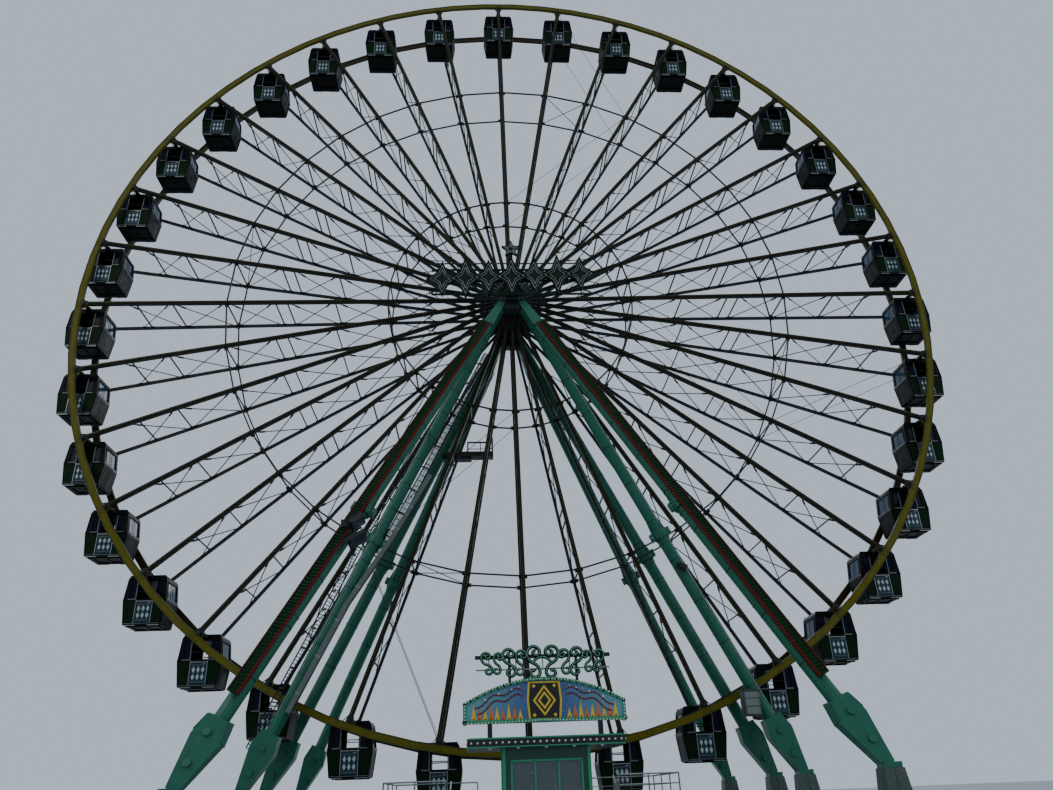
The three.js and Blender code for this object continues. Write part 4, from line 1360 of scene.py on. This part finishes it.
class FERRIS_OT_star_sign(Operator):
    """Raised edges, glass tubes and rear braces of the star sign"""
    bl_idname = "ferris.star_sign"
    bl_label = "Star sign"

    def execute(self, context):
        # Each star's place across and up, half width, half height, waist (how far out its inner corners
        # are, as a share) and number of points
        stars = [
            (0.6 * i, 0.2 + 0.025 * i, 0.42, 0.64 if i % 2 == 0 else 0.54, 0.48, 4) for i in range(-3, 4)
        ]
        stars.append((0.0, 1.06, 0.26, 0.26, 0.45, 5))
        face_y, rear_y = -1.38, -1.33
        bm = bmesh.new()
        tubes = bmesh.new()
        for x, z, wide, tall, waist, points in stars:
            def corner(i, share):
                share *= 1.0 if i % 2 == 0 else waist
                angle = i * math.pi / points
                across, up = share * wide * math.sin(angle), share * tall * math.cos(angle)
                return HUB + Vector((x + across, 0, z + up))

            for i in range(2 * points):
                start, end = (corner(k, 0.97) + Y * (face_y - 0.012) for k in (i, i + 1))
                bar(bm, start, end, 0.04, 0.014, Y)
                for share in (0.76, 0.5):
                    start, end = (corner(k, share) + Y * (face_y - 0.016) for k in (i, i + 1))
                    rod(tubes, start, end, 0.008, 8)
                    bulb(tubes, start, 0.0082)
                    mid = (start + end) / 2
                    bar(bm, mid, mid + Y * 0.016, 0.012, 0.012, X, 1)
        piece("star_edges", bm, "stand", finishes("sign", "zinc"))
        piece("star_tubes", tubes, "stand", finishes("tube"))

        bm = bmesh.new()
        for x in (-1.8, -1.2, -0.6, 0.0, 0.6, 1.2, 1.8):
            low, high = (HUB + Vector((x, rear_y + 0.012, z)) for z in (-0.36, 0.45))
            bar(bm, low, high, 0.03, 0.02, X)
        for z, deep in ((0.66, 0.03), (0.116, 0.07), (-0.43, 0.03)):
            left, right = (HUB + Vector((x, rear_y + 0.035, z)) for x in (-2.0, 2.0))
            bar(bm, left, right, deep, 0.02, Z)
        for x0, x1 in ((-2.05, -1.2), (1.2, 2.05), (-0.9, -0.3), (0.3, 0.9)):
            low, high = (HUB + Vector((x, rear_y + 0.03, z)) for x, z in ((x0, -0.33), (x1, 0.42)))
            rod(bm, low, high, 0.009, 6)
        for side in (-1, 1):
            for z in (-0.33, 0.42):
                seat = HUB + Vector((side * 0.3, -1.1, -0.4))
                rod(bm, HUB + Vector((side * 1.2, rear_y, z)), seat, 0.012, 8)
        rod(bm, HUB + Vector((0, rear_y, 0.9)), HUB + Vector((0, -1.0, 0.06)), 0.012, 8)
        piece("star_sign_braces", bm, "stand", finishes("dark_steel"))
        return {"FINISHED"}


def ladder(bm, run, half, rail, pitch, rung):
    """Rails at both sides of a line of points, half apart from it, and rungs between them."""
    for side in (-1, 1):
        for a, b in zip(run, run[1:]):
            rod(bm, a + half * side, b + half * side, rail, 8)
        for point in run[1:-1]:
            bulb(bm, point + half * side, rail * 1.1)
    for spot, _ in evenly(run, pitch):
        rod(bm, spot - half, spot + half, rung, 6)


class FERRIS_OT_leg_services(Operator):
    """Ladders, cable trunking, floodlights, cabinet and platform rails"""
    bl_idname = "ferris.leg_services"
    bl_label = "Leg services"

    def execute(self, context):
        sizes = context.scene.ferris_sizes
        axis = leg_axis(inner_leg, -1, -1)
        across = aimed(Vector((0, 0, 0)), axis).col[0].to_3d()

        def beside(drop, x, y=-0.02):
            return inner_leg(-1, -1, drop) + X * x + Y * y

        bm = bmesh.new()
        run = [beside(3.95, -0.18), beside(6.0, -0.29), beside(10.95, -0.3)]
        ladder(bm, run, across * 0.065, 0.014, sizes.rung_pitch / 2, 0.008)
        for i in range(17):
            spot = beside(4.2 + 0.4 * i, -0.2 if i < 2 else -0.29, -0.045)
            box(bm, spot - Vector((0.05, 0.012, 0.02)), spot + Vector((0.03, 0.012, 0.02)), 1)
            if i % 3 == 0:
                bar(bm, spot + across * 0.05, spot + across * 0.2, 0.02, 0.008, axis, 1)
        piece("access_ladder", bm, "stand", finishes("black_steel", "dark_steel"))

        bm = bmesh.new()
        run = [beside(1.9, 0.3), beside(4.9, 0.29), beside(7.0, 0.25)]
        ladder(bm, run, across * 0.07, 0.015, sizes.rung_pitch, 0.009)
        for x in (-0.035, 0.0, 0.03):
            for a, b in zip(run, run[1:]):
                rod(bm, a + across * x - Y * 0.02, b + across * x - Y * 0.02, 0.009, 6, slot=1)
        for i in range(9):
            spot = beside(2.2 + 0.55 * i, 0.29)
            bar(bm, spot - across * 0.14 + Y * 0.01, spot + across * 0.08 + Y * 0.01, 0.03, 0.010, axis)
            bar(bm, spot - across * 0.05 - Y * 0.03, spot + across * 0.05 - Y * 0.03, 0.02, 0.006, axis, 1)
        for shift, turn in ((0.0, 35), (0.05, 52)):
            start = beside(4.02, -0.14 + shift, -0.17)
            scroll(bm, start, -95, [(0.62 if turn > 40 else 1.15, turn), (0.5, 30)], 0.006, 1)
        piece("cable_ladder", bm, "stand", finishes("black_steel", "rubber"))

        bm = bmesh.new()
        run = [
            beside(5.15, 0.485, -0.09), beside(6.7, 0.355, -0.1),
            beside(8.1, 0.15, -0.17), beside(10.3, 0.13, -0.18),
        ]
        for a, b in zip(run, run[1:]):
            along = (b - a).normalized()
            verts = bar(bm, a - along * 0.004, b + along * 0.004, 0.105, 0.055, across)
            soften(bm, verts, 0.006, 1)
            count = max(1, round((b - a).length / 0.7))
            for i in range(count):
                joint = a + (b - a) * (i + 0.5) / count
                bar(bm, joint - along * 0.02, joint + along * 0.02, 0.113, 0.062, across, 1)
            # Black rubber cable along the trunking's side: partly a cable, partly a dark strip standing in
            # for the painted shade on that side
            rod(bm, a + across * 0.072, b + across * 0.072, 0.014, 8, slot=2)
        piece("cable_trunking", bm, "stand", finishes("trunk", "zinc", "rubber"))

        bm = bmesh.new()
        lamps = [
            (Vector((-3.275, -3.80, 5.698)), outer_leg(-1, -1, 7.05), Vector((0.7, -0.35, -0.55)), 1.05),
            (Vector((-3.256, -3.80, 5.349)), outer_leg(-1, -1, 7.35), Vector((0.55, -0.3, -0.75)), 1.15),
            (Vector((-3.44, 3.66, 5.62)), outer_leg(-1, 1, 7.18), Vector((0.6, -0.1, -0.78)), 1.0),
            (Vector((3.597, -1.25, 5.297)), inner_leg(1, -1, 7.42), Vector((-0.5, -0.5, -0.7)), 0.7),
        ]
        for spot, leg_spot, way, size in lamps:
            at = aimed(spot, way) @ Matrix.Scale(size, 4)
            for low, high, slot in (
                ((-0.15, -0.11, -0.05), (0.15, 0.11, 0.03), 0),
                ((-0.165, -0.125, 0.03), (0.165, 0.125, 0.05), 0),
                ((-0.14, -0.10, 0.05), (0.14, 0.10, 0.054), 1),
            ):
                bmesh.ops.transform(bm, matrix=at, verts=soft_box(bm, low, high, slot))
            for k in range(7):
                x = -0.12 + 0.04 * k
                fin = box(bm, (x - 0.004, -0.09, -0.085), (x + 0.004, 0.09, -0.05), 0)
                bmesh.ops.transform(bm, matrix=at, verts=fin)
            for side in (-1, 1):
                yoke = bar(bm, (side * 0.175, 0, 0.0), (side * 0.175, 0, -0.17), 0.012, 0.03, X, 0)
                bmesh.ops.transform(bm, matrix=at, verts=yoke)
            beam = box(bm, (-0.181, -0.015, -0.18), (0.181, 0.015, -0.168), 0)
            bmesh.ops.transform(bm, matrix=at, verts=beam)
            bar(bm, at @ Vector((0, 0, -0.175)), leg_spot, 0.035, 0.035, X, 0)
        soft_box(bm, (-3.60, -3.70, 5.62), (-3.45, -3.58, 5.78), 0)
        piece("floodlights", bm, "stand", finishes("black", "glass"))

        bm = bmesh.new()
        cabinet = box(bm, (4.63, -1.15, 2.15), (4.98, -0.86, 2.65), 0)
        soften(bm, cabinet, 0.012, 2)
        for z0, z1 in ((2.18, 2.32), (2.34, 2.48), (2.50, 2.62)):
            door = box(bm, (4.66, -1.158, z0), (4.95, -1.148, z1), 1)
            soften(bm, door, 0.003, 1)
        box(bm, (4.61, -1.17, 2.648), (5.0, -0.84, 2.664), 0)
        for z in (2.25, 2.41, 2.56):
            rod(bm, (4.92, -1.158, z), (4.92, -1.17, z), 0.008, 8, slot=2)
        for z in (2.24, 2.56):
            bar(bm, (4.9, -0.98, z), (5.06 - 0.48 * (z - 2.4), -0.98, z), 0.12, 0.02, Y, 2)
        piece("leg_cabinet", bm, "stand", finishes("base", "white", "zinc"))

        bm = bmesh.new()
        low_z = HUB.z - 0.34 * RIM_RADIUS
        x0, x1 = -0.166 * RIM_RADIUS, -0.047 * RIM_RADIUS
        rail_x0, rail_x1, rail_y = x0 + 0.66, x1 - 0.02, 1.142
        for i in range(17):
            x = x0 + 0.33 + 0.058 * i
            bar(bm, (x, 0.85, low_z + 0.006), (x, 1.16, low_z + 0.006), 0.006, 0.012, X)
        for y in (0.85, 0.95, 1.05, 1.157):
            bar(bm, (x0 + 0.3, y, low_z + 0.008), (x1, y, low_z + 0.008), 0.006, 0.016, Y)
        for height in (0.2, 0.39):
            rod(bm, (rail_x0, rail_y, low_z + height), (rail_x1, rail_y, low_z + height), 0.012, 8)
            rod(bm, (rail_x1, rail_y, low_z + height), (rail_x1, 0.868, low_z + height), 0.012, 8)
        for x in (rail_x0, (rail_x0 + x1) / 2, rail_x1):
            rod(bm, (x, rail_y, low_z), (x, rail_y, low_z + 0.39), 0.012, 8)
        box(bm, (x0 + 0.3, 1.15, low_z), (x1, 1.158, low_z + 0.06))
        piece("platform_rails", bm, "stand", finishes("zinc"))
        return {"FINISHED"}


def soft_box(bm, low, high, slot):
    """Box with slightly rounded edges; returns the vertices it has then."""
    before = set(bm.verts)
    soften(bm, box(bm, low, high, slot), 0.006, 1)
    return [vert for vert in bm.verts if vert not in before]


class FERRIS_OT_ground_frame(Operator):
    """Flanges, stiffeners, jacks and bolts of the base"""
    bl_idname = "ferris.ground_frame"
    bl_label = "Ground frame"

    def execute(self, context):
        for side, name in ((-1, "left"), (1, "right")):
            x = side * 5.745
            bm = bmesh.new()
            box(bm, (x - 0.25, -5.34, 0.44), (x + 0.25, 5.34, 0.465))
            box(bm, (x - 0.25, -5.34, 0.0), (x + 0.25, 5.34, 0.022))
            for i in range(18):
                y = -5.0 + 10.0 * i / 17
                for face in (-1, 1):
                    if face == -side and abs(abs(y) - 0.98) < 0.25:
                        continue
                    box(bm, (x + face * 0.22, y - 0.008, 0.022), (x + face * 0.246, y + 0.008, 0.44))
            for y in (-5.1, -2.9, 2.9, 5.1):
                box(bm, (x + side * 0.22, y - 0.09, 0.24), (x + side * 0.42, y + 0.09, 0.36))
                spot = Vector((x + side * 0.34, y, 0.0))
                rod(bm, spot + 0.03 * Z, spot + 0.46 * Z, 0.035, 16, slot=1)
                rod(bm, spot, spot + 0.03 * Z, 0.13, 20, slot=1)
                rod(bm, spot + 0.36 * Z, spot + 0.40 * Z, 0.06, 6, slot=1)
            for y in (-4.952, -0.98, 0.98, 4.952):
                for dx in (-0.2, 0.2):
                    for dy in (-0.26, 0.26):
                        stud(bm, Vector((x + dx, y + dy, 0.465)), 0.02 * Z, 0.018)
                leg = inner_leg if abs(y) < 2 else outer_leg
                foot_x = leg(side, 1, FOOT_DROP).x
                for face in (-1, 1):
                    bar(bm, (x, y + face * 0.24, 0.46), (foot_x, y + face * 0.172, 0.97), 0.02, 0.02, Y)
            piece("girder_details_" + name, bm, "stand", finishes("base", "zinc"))

        bm = bmesh.new()
        for y in (-0.98, 0.98):
            box(bm, (-5.5, y - 0.17, 0.40), (5.5, y + 0.17, 0.43 if y > 0 else 0.4203))
            box(bm, (-5.5, y - 0.17, 0.0), (5.5, y + 0.17, 0.018))
            for i in range(19):
                x = -5.2 + 10.4 * i / 18
                for face in (-1, 1):
                    box(bm, (x - 0.007, y + face * 0.15, 0.018), (x + 0.007, y + face * 0.168, 0.40))
            for x in (-2.75, 2.75):
                for face in (-1, 1):
                    plate_y = y + face * 0.172
                    box(bm, (x - 0.3, y + face * 0.15, 0.06), (x + 0.3, plate_y, 0.36))
                    for dx in (-0.22, -0.08, 0.08, 0.22):
                        for z in (0.12, 0.3):
                            stud(bm, Vector((x + dx, plate_y, z)), Y * face * 0.014, 0.014)
        for x0, x1 in ((-4.2, -1.5), (1.5, 4.2)):
            rod(bm, (x0, -0.82, 0.2), (x1, 0.82, 0.2), 0.018, 8, slot=1)
            rod(bm, (x0, 0.82, 0.24), (x1, -0.82, 0.24), 0.018, 8, slot=1)
        piece("cross_beam_details", bm, "stand", finishes("base", "zinc"))
        return {"FINISHED"}


def railing(bm, points, height, lower=(0.5,)):
    """Posts, a top rail and lower rails, at shares of the height, through the given points."""
    for a, b in zip(points, points[1:]):
        for share in (1.0, *lower):
            rise = Vector((0, 0, height * share))
            rod(bm, a + rise, b + rise, 0.014 if share == 1.0 else 0.009, 8)
        for spot, _ in evenly([a, b], 0.9):
            rod(bm, spot, spot + height * Z, 0.013, 8)
            rod(bm, spot, spot + 0.012 * Z, 0.035, 10)
            bulb(bm, spot + height * Z, 0.0165)


class FERRIS_OT_deck(Operator):
    """Tread plates, edge trims, steps and railings of the boarding deck"""
    bl_idname = "ferris.deck"
    bl_label = "Boarding deck"

    def execute(self, context):
        bm = bmesh.new()
        for i in range(6):
            for j in range(2):
                x0, y0 = -2.7 + 0.9 * i, -3.1 + 1.325 * j
                sheet = box(bm, (x0 + 0.005, y0 + 0.005, 0.56), (x0 + 0.895, y0 + 1.32, 0.566))
                soften(bm, sheet, 0.0025, 1)
                for dx in (0.06, 0.45, 0.84):
                    for dy in (0.06, 1.26):
                        spot = Vector((x0 + dx, y0 + dy, 0.566))
                        rod(bm, spot, spot + 0.003 * Z, 0.010, 8, slot=1)
        for y0, y1, z in ((-3.4, -3.105, 0.4283), (-3.7, -3.405, 0.215)):
            box(bm, (-1.495, y0 + 0.003, z), (1.495, y1, z + 0.006))
        piece("deck_plates", bm, "stand", finishes("deck", "zinc"))

        bm = bmesh.new()
        for y, out in ((-3.1, -0.008), (-0.45, 0.008)):
            box(bm, (-2.705, y, 0.43), (2.705, y + out, 0.572), 0)
        for x, out in ((-2.7, -0.008), (2.7, 0.008)):
            box(bm, (x, -3.1, 0.43), (x + out, -0.45, 0.572), 0)
        for y, lip, z in ((-3.4, 0.006, 0.4343), (-3.7, 0.0, 0.221)):
            box(bm, (-1.5, y - lip, z - 0.03), (1.5, y + 0.03, z + 0.004), 1)
        for x in (-2.5, -0.9, 0.9, 2.5):
            rod(bm, (x, -2.95, 0.0), (x, -2.95, 0.025), 0.11, 16, slot=2)
        piece("deck_edges", bm, "stand", finishes("booth", "gold", "zinc"))

        bm = bmesh.new()
        top = 0.566
        for side in (-1, 1):
            run = [(side * 1.55, -3.06), (side * 2.66, -3.06), (side * 2.66, -0.58), (side * 1.0, -0.58)]
            railing(bm, [Vector((x, y, top)) for x, y in run], 0.52, lower=(0.36, 0.68))
            stair = ((-3.66, 0.221), (-3.38, 0.4343), (-3.08, top))
            railing(bm, [Vector((side * 1.46, y, z)) for y, z in stair], 0.5)
        for x in (-0.45, 0.45):
            railing(bm, [Vector((x, -3.0, top)), Vector((x, -1.5, top))], 0.5)
        piece("deck_railings", bm, "stand", finishes("alloy"))
        return {"FINISHED"}


class FERRIS_OT_booth(Operator):
    """Windows, door, counter, mouldings and canopy lights of the pay booth"""
    bl_idname = "ferris.booth"
    bl_label = "Pay booth"

    def execute(self, context):
        x0, x1 = BOOTH_X - 0.683, BOOTH_X + 0.683
        bm = bmesh.new()
        for x in (x0, x1):
            for y in (BOOTH_FRONT, BOOTH_BACK):
                post = box(bm, (x - 0.028, y - 0.028, 0.0), (x + 0.028, y + 0.028, 1.5), 1)
                soften(bm, post, 0.006, 1)
        box(bm, (x0 - 0.02, BOOTH_FRONT - 0.02, 0.0), (x1 + 0.02, BOOTH_BACK + 0.02, 0.075), 2)
        wx0, wx1 = BOOTH_X - 0.563, BOOTH_X + 0.563
        y, sill, lintel, pane = BOOTH_FRONT, 0.56, 1.30, 0.375
        for z in (sill, lintel):
            bar(bm, (wx0, y - 0.008, z), (wx1, y - 0.008, z), 0.034, 0.03, Y, 1)
        for x in (wx0, wx1, wx0 + pane, wx0 + 2 * pane):
            bar(bm, (x, y - 0.008, sill), (x, y - 0.008, lintel), 0.034, 0.03, Y, 1)
        shelf = box(bm, (wx0 - 0.05, y - 0.15, 0.525), (wx1 + 0.05, y + 0.02, 0.55), 3)
        soften(bm, shelf, 0.008, 2)
        for x in (wx0 + 0.1, BOOTH_X, wx1 - 0.1):
            bracket = ((y, 0.525), (y - 0.12, 0.525), (y, 0.38))
            plate(bm, [Vector((x - 0.012, *corner)) for corner in bracket], (0.024, 0, 0), 1)
        panels = ((x0 + 0.1, BOOTH_X - 0.24), (BOOTH_X - 0.2, BOOTH_X + 0.2), (BOOTH_X + 0.24, x1 - 0.1))
        for left, right in panels:
            soften(bm, box(bm, (left, y - 0.012, 0.14), (right, y, 0.46), 4), 0.008, 1)
        for x, face in ((x0, -1), (x1, 1)):
            for z0, z1 in ((0.14, 0.62), (0.72, 1.36)):
                for y0, y1 in ((-4.95, -4.56), (-4.48, -4.09)):
                    soften(bm, box(bm, (x, y0, z0), (x + face * 0.012, y1, z1), 4), 0.008, 1)
        yb = BOOTH_BACK
        door_frame = ((-0.215, 0.06, -0.215, 1.165), (0.215, 0.06, 0.215, 1.165), (-0.23, 1.165, 0.23, 1.165))
        for dx0, z0, dx1, z1 in door_frame:
            bar(bm, (BOOTH_X + dx0, yb + 0.008, z0), (BOOTH_X + dx1, yb + 0.008, z1), 0.034, 0.03, Y, 1)
        door = box(bm, (BOOTH_X - 0.195, yb - 0.035, 0.065), (BOOTH_X + 0.195, yb - 0.005, 1.145), 4)
        soften(bm, door, 0.006, 1)
        rod(bm, (BOOTH_X + 0.15, yb - 0.005, 0.6), (BOOTH_X + 0.15, yb + 0.035, 0.6), 0.012, 10, slot=3)
        bar(bm, (BOOTH_X + 0.155, yb + 0.035, 0.6), (BOOTH_X + 0.07, yb + 0.035, 0.6), 0.014, 0.01, Z, 3)
        looks = finishes("booth", "border", "black", "alloy", "head")
        piece("booth_joinery", bm, "stand", looks)

        bm = bmesh.new()
        for i in range(3):
            left = wx0 + 0.017 + pane * i
            box(bm, (left, y + 0.01, 0.577), (left + 0.341, y + 0.016, 1.283))
        piece("booth_glass", bm, "stand", finishes("glass"))

        bm = bmesh.new()
        cx0, cx1, cy0, cy1 = BOOTH_X - 1.25, BOOTH_X + 1.25, -5.2, -3.86
        corners = [Vector((x, y, 0)) for x, y in ((cx0, cy0), (cx1, cy0), (cx1, cy1), (cx0, cy1))]
        bands = ((1.57, 0.10, 0.012, 0), (1.632, 0.018, 0.024, 1), (1.508, 0.018, 0.024, 1))
        for a, b in zip(corners, corners[1:] + corners[:1]):
            along = (b - a).normalized()
            out = along.cross(Z)
            for z, wide, thick, slot in bands:
                shift = out * thick / 2 + z * Z
                bar(bm, a + shift, b + shift, thick, wide, out, slot)
            for spot, _ in evenly([a + along * 0.05, b - along * 0.05], 0.1):
                bulb(bm, spot + out * 0.02 + 1.57 * Z, 0.02, 2)
        for i in range(5):
            for k in range(2):
                spot = Vector((BOOTH_X - 0.9 + 0.45 * i, -5.11 + 0.06 * k, 1.5))
                rod(bm, spot, spot - 0.02 * Z, 0.03, 12, 0.022, slot=2)
        box(bm, (cx0 + 0.03, cy0 + 0.03, 1.64), (cx1 - 0.03, -5.1, 1.65), 1)
        piece("booth_canopy", bm, "stand", finishes("black", "border", "pearl_bulb"))
        return {"FINISHED"}


def arch_height(x):
    """Top of the arch above a place across it."""
    share = (x - BOOTH_X) / 1.333
    return 2.182 + 0.381 * (1 - share * share)


class FERRIS_OT_arch(Operator):
    """Border, bulbs and plain pattern of the arched sign, and the scrollwork on its rail"""
    bl_idname = "ferris.arch"
    bl_label = "Arched sign"

    def execute(self, context):
        pitch = context.scene.ferris_sizes.border_pitch
        y = SIGN_Y - 0.04
        top = [Vector((BOOTH_X + 1.333 * (i / 12 - 1), 0, 0)) for i in range(25)]
        for point in top:
            point.z = arch_height(point.x)
        left, right = Vector((top[0].x, 0, 1.863)), Vector((top[-1].x, 0, 1.863))
        loop = [left, *top, right, left]
        middle = Vector((BOOTH_X, 0, 2.15))
        bm = bmesh.new()
        for face in (-1, 1):
            out = Y * (SIGN_Y + face * 0.05)
            for a, b in zip(loop, loop[1:]):
                along = (b - a).normalized()
                inward = Vector((along.z, 0, -along.x))
                if inward.dot(middle - (a + b) / 2) < 0:
                    inward = -inward
                shift = inward * 0.03 + out
                bar(bm, a + shift - along * 0.012, b + shift + along * 0.012, 0.05, 0.03, inward, 0)
        for spot, along in evenly(loop, pitch):
            inward = (middle - spot).normalized()
            foot = spot + inward * 0.032 + Y * (y - 0.025)
            bulb(bm, foot - Y * 0.008, 0.016, 1)
        piece("arch_border", bm, "stand", finishes("border", "pearl_bulb"))

        bm = bmesh.new()

        def flat(points, thick, slot, lift=0.0):
            plate(bm, [Vector((BOOTH_X + px, y - lift, pz)) for px, pz in points], (0, -thick, 0), slot)

        def diamond(cx, cz, wide, tall, slot, lift):
            flat([(cx - wide, cz), (cx, cz + tall), (cx + wide, cz), (cx, cz - tall)], 0.006, slot, lift)

        # Plain fairground pattern: a black cartouche of nested yellow diamonds,
        # curved crimson ribbons, cream dots and a row of pennants along the foot
        for half, waist, foot, head, thick, slot, lift in (
            (0.26, 0.29, 1.90, 2.49, 0.008, 1, 0.0), (0.23, 0.255, 1.925, 2.465, 0.006, 0, 0.008),
        ):
            outline = [(-half, foot), (half, foot), (waist, 2.2), (half, head), (-half, head), (-waist, 2.2)]
            flat(outline, thick, slot, lift)
        for i, (wide, tall) in enumerate(((0.19, 0.24), (0.15, 0.19), (0.11, 0.14), (0.07, 0.09))):
            diamond(0.0, 2.195, wide, tall, 1 if i % 2 == 0 else 0, 0.014 + 0.005 * i)
        for sx in (-1, 1):
            for cz in (2.42, 1.97):
                diamond(sx * 0.17, cz, 0.032, 0.032, 1, 0.014)
            for i in range(9):
                px = sx * (0.40 + 0.095 * i)
                tall = 0.17 + 0.05 * (i % 3)
                pennant = [(px - 0.042, 1.905), (px + 0.042, 1.905), (px, 1.905 + tall)]
                flat(pennant, 0.006, 3 if i % 2 else 1)
                diamond(px, 1.935, 0.014, 0.014, 2, 0.006)
            for row, lift_z in enumerate((2.36, 2.27)):
                previous = None
                for i in range(14):
                    t = i / 13
                    px = 0.36 + (0.78 - 0.04 * row) * t
                    pz = lift_z - 0.26 * t * t + 0.035 * math.sin(4 * math.pi * t)
                    point = Vector((BOOTH_X + sx * px, y - 0.004, pz))
                    if previous is not None:
                        step = (point - previous).normalized() * 0.006
                        bar(bm, previous - step, point + step, 0.008, 0.022, Y, 2)
                    previous = point
            for i in range(7):
                px = 0.42 + 0.11 * i
                pz = arch_height(BOOTH_X + px) - 0.11 - 0.02 * (i % 2)
                disc = Vector((BOOTH_X + sx * px, y, pz))
                rod(bm, disc, disc - Y * 0.006, 0.016 if i % 2 else 0.011, 12, slot=4 if i % 2 else 1)
        looks = finishes("black", "gold", "crimson", "orange", "cream")
        piece("arch_pattern", bm, "stand", looks)

        bm = bmesh.new()
        lines = bmesh.new()
        base_z = 2.78
        for sx in (-1, 1):
            for cx, size, heading in (
                (0.15, 1.0, 20), (0.38, 0.78, 30), (0.56, 0.88, 15), (0.76, 0.66, 30), (0.93, 0.7, 10),
            ):
                arcs = [(0.17 * size, 75), (0.11 * size, 150), (0.06 * size, 170), (0.035 * size, 160)]
                back = [(0.15 * size, 70), (0.08 * size, 150), (0.045 * size, 170)]
                for sign, run, angle in ((1, arcs, heading), (1, back, heading + 180)):
                    start = Vector((BOOTH_X + sx * cx, SIGN_Y - 0.03, base_z))
                    way = angle if sx > 0 else 180 - angle
                    turned = [(turn, sx * sign * degrees) for turn, degrees in run]
                    scroll(bm, start, way, turned, 0.03 * size ** 0.5)
                    scroll(lines, start - Y * 0.036, way, turned, 0.007)
        scroll(bm, (BOOTH_X - 0.16, SIGN_Y - 0.03, 2.80), 60, [(0.17, -120)], 0.026)
        scroll(lines, (BOOTH_X - 0.16, SIGN_Y - 0.062, 2.80), 60, [(0.17, -120)], 0.007)
        for x in (-0.9, -0.45, 0.0, 0.45, 0.9):
            bar(bm, (BOOTH_X + x, SIGN_Y + 0.01, 2.68), (BOOTH_X + x, SIGN_Y + 0.01, 2.88), 0.02, 0.02, X, 1)
        rail_y = SIGN_Y + 0.012
        bar(bm, (BOOTH_X - 1.12, rail_y, 2.7), (BOOTH_X + 1.12, rail_y, 2.7), 0.022, 0.022, Y, 1)
        box(bm, (BOOTH_X - 1.134, SIGN_Y - 0.024, 2.871), (BOOTH_X + 1.134, SIGN_Y + 0.024, 2.929), 2)
        for offset, half, foot, head in ((0.56, 0.024, 2.4, 2.871), (0.9, 0.039, 1.641, 1.862)):
            for x in (BOOTH_X - offset, BOOTH_X + offset):
                box(bm, (x - half, SIGN_Y - half, foot), (x + half, SIGN_Y + half, head), 2)
        piece("crest_scrolls", bm, "stand", finishes("sign", "zinc", "black"))
        piece("crest_tubes", lines, "stand", finishes("green_tube"))
        return {"FINISHED"}


OPERATORS = (
    FERRIS_OT_stage, FERRIS_OT_frame_finish, FERRIS_OT_hub_fittings, FERRIS_OT_spoke_lights,
    FERRIS_OT_spoke_lacing, FERRIS_OT_ring_bracing, FERRIS_OT_rim_fittings, FERRIS_OT_cabins,
    FERRIS_OT_leg_fittings, FERRIS_OT_heads, FERRIS_OT_light_panels, FERRIS_OT_star_sign,
    FERRIS_OT_leg_services, FERRIS_OT_ground_frame, FERRIS_OT_deck, FERRIS_OT_booth, FERRIS_OT_arch,
)
GROUPS = (("ferris_paint", FerrisPaint), ("ferris_sizes", FerrisSizes), ("ferris_stage", FerrisStage))


class FERRIS_PT_panel(Panel):
    """Sizes, colours and pieces of the ferris wheel"""
    bl_idname = "FERRIS_PT_panel"
    bl_label = "Ferris Wheel"
    bl_space_type = "VIEW_3D"
    bl_region_type = "UI"
    bl_category = "Ferris Wheel"

    def draw(self, context):
        for key, group in GROUPS:
            values = getattr(context.scene, key)
            box_ui = self.layout.box()
            for name in group.__annotations__:
                box_ui.prop(values, name)
        for operator in OPERATORS:
            self.layout.operator(operator.bl_idname)


def register():
    for key, group in GROUPS:
        bpy.utils.register_class(group)
        setattr(bpy.types.Scene, key, PointerProperty(type=group))
    for each in (*OPERATORS, FERRIS_PT_panel):
        bpy.utils.register_class(each)


def unregister():
    for each in reversed((*OPERATORS, FERRIS_PT_panel)):
        bpy.utils.unregister_class(each)
    for key, group in reversed(GROUPS):
        delattr(bpy.types.Scene, key)
        bpy.utils.unregister_class(group)


def main():
    register()
    bpy.ops.ferris.stage()
    bpy.ops.ferris.frame_finish()
    bpy.ops.ferris.hub_fittings()
    bpy.ops.ferris.spoke_lights()
    bpy.ops.ferris.spoke_lacing()
    bpy.ops.ferris.ring_bracing()
    bpy.ops.ferris.rim_fittings()
    bpy.ops.ferris.cabins()
    bpy.ops.ferris.leg_fittings()
    bpy.ops.ferris.heads()
    bpy.ops.ferris.light_panels()
    bpy.ops.ferris.star_sign()
    bpy.ops.ferris.leg_services()
    bpy.ops.ferris.ground_frame()
    bpy.ops.ferris.deck()
    bpy.ops.ferris.booth()
    bpy.ops.ferris.arch()


if __name__ == "__main__":
    main()
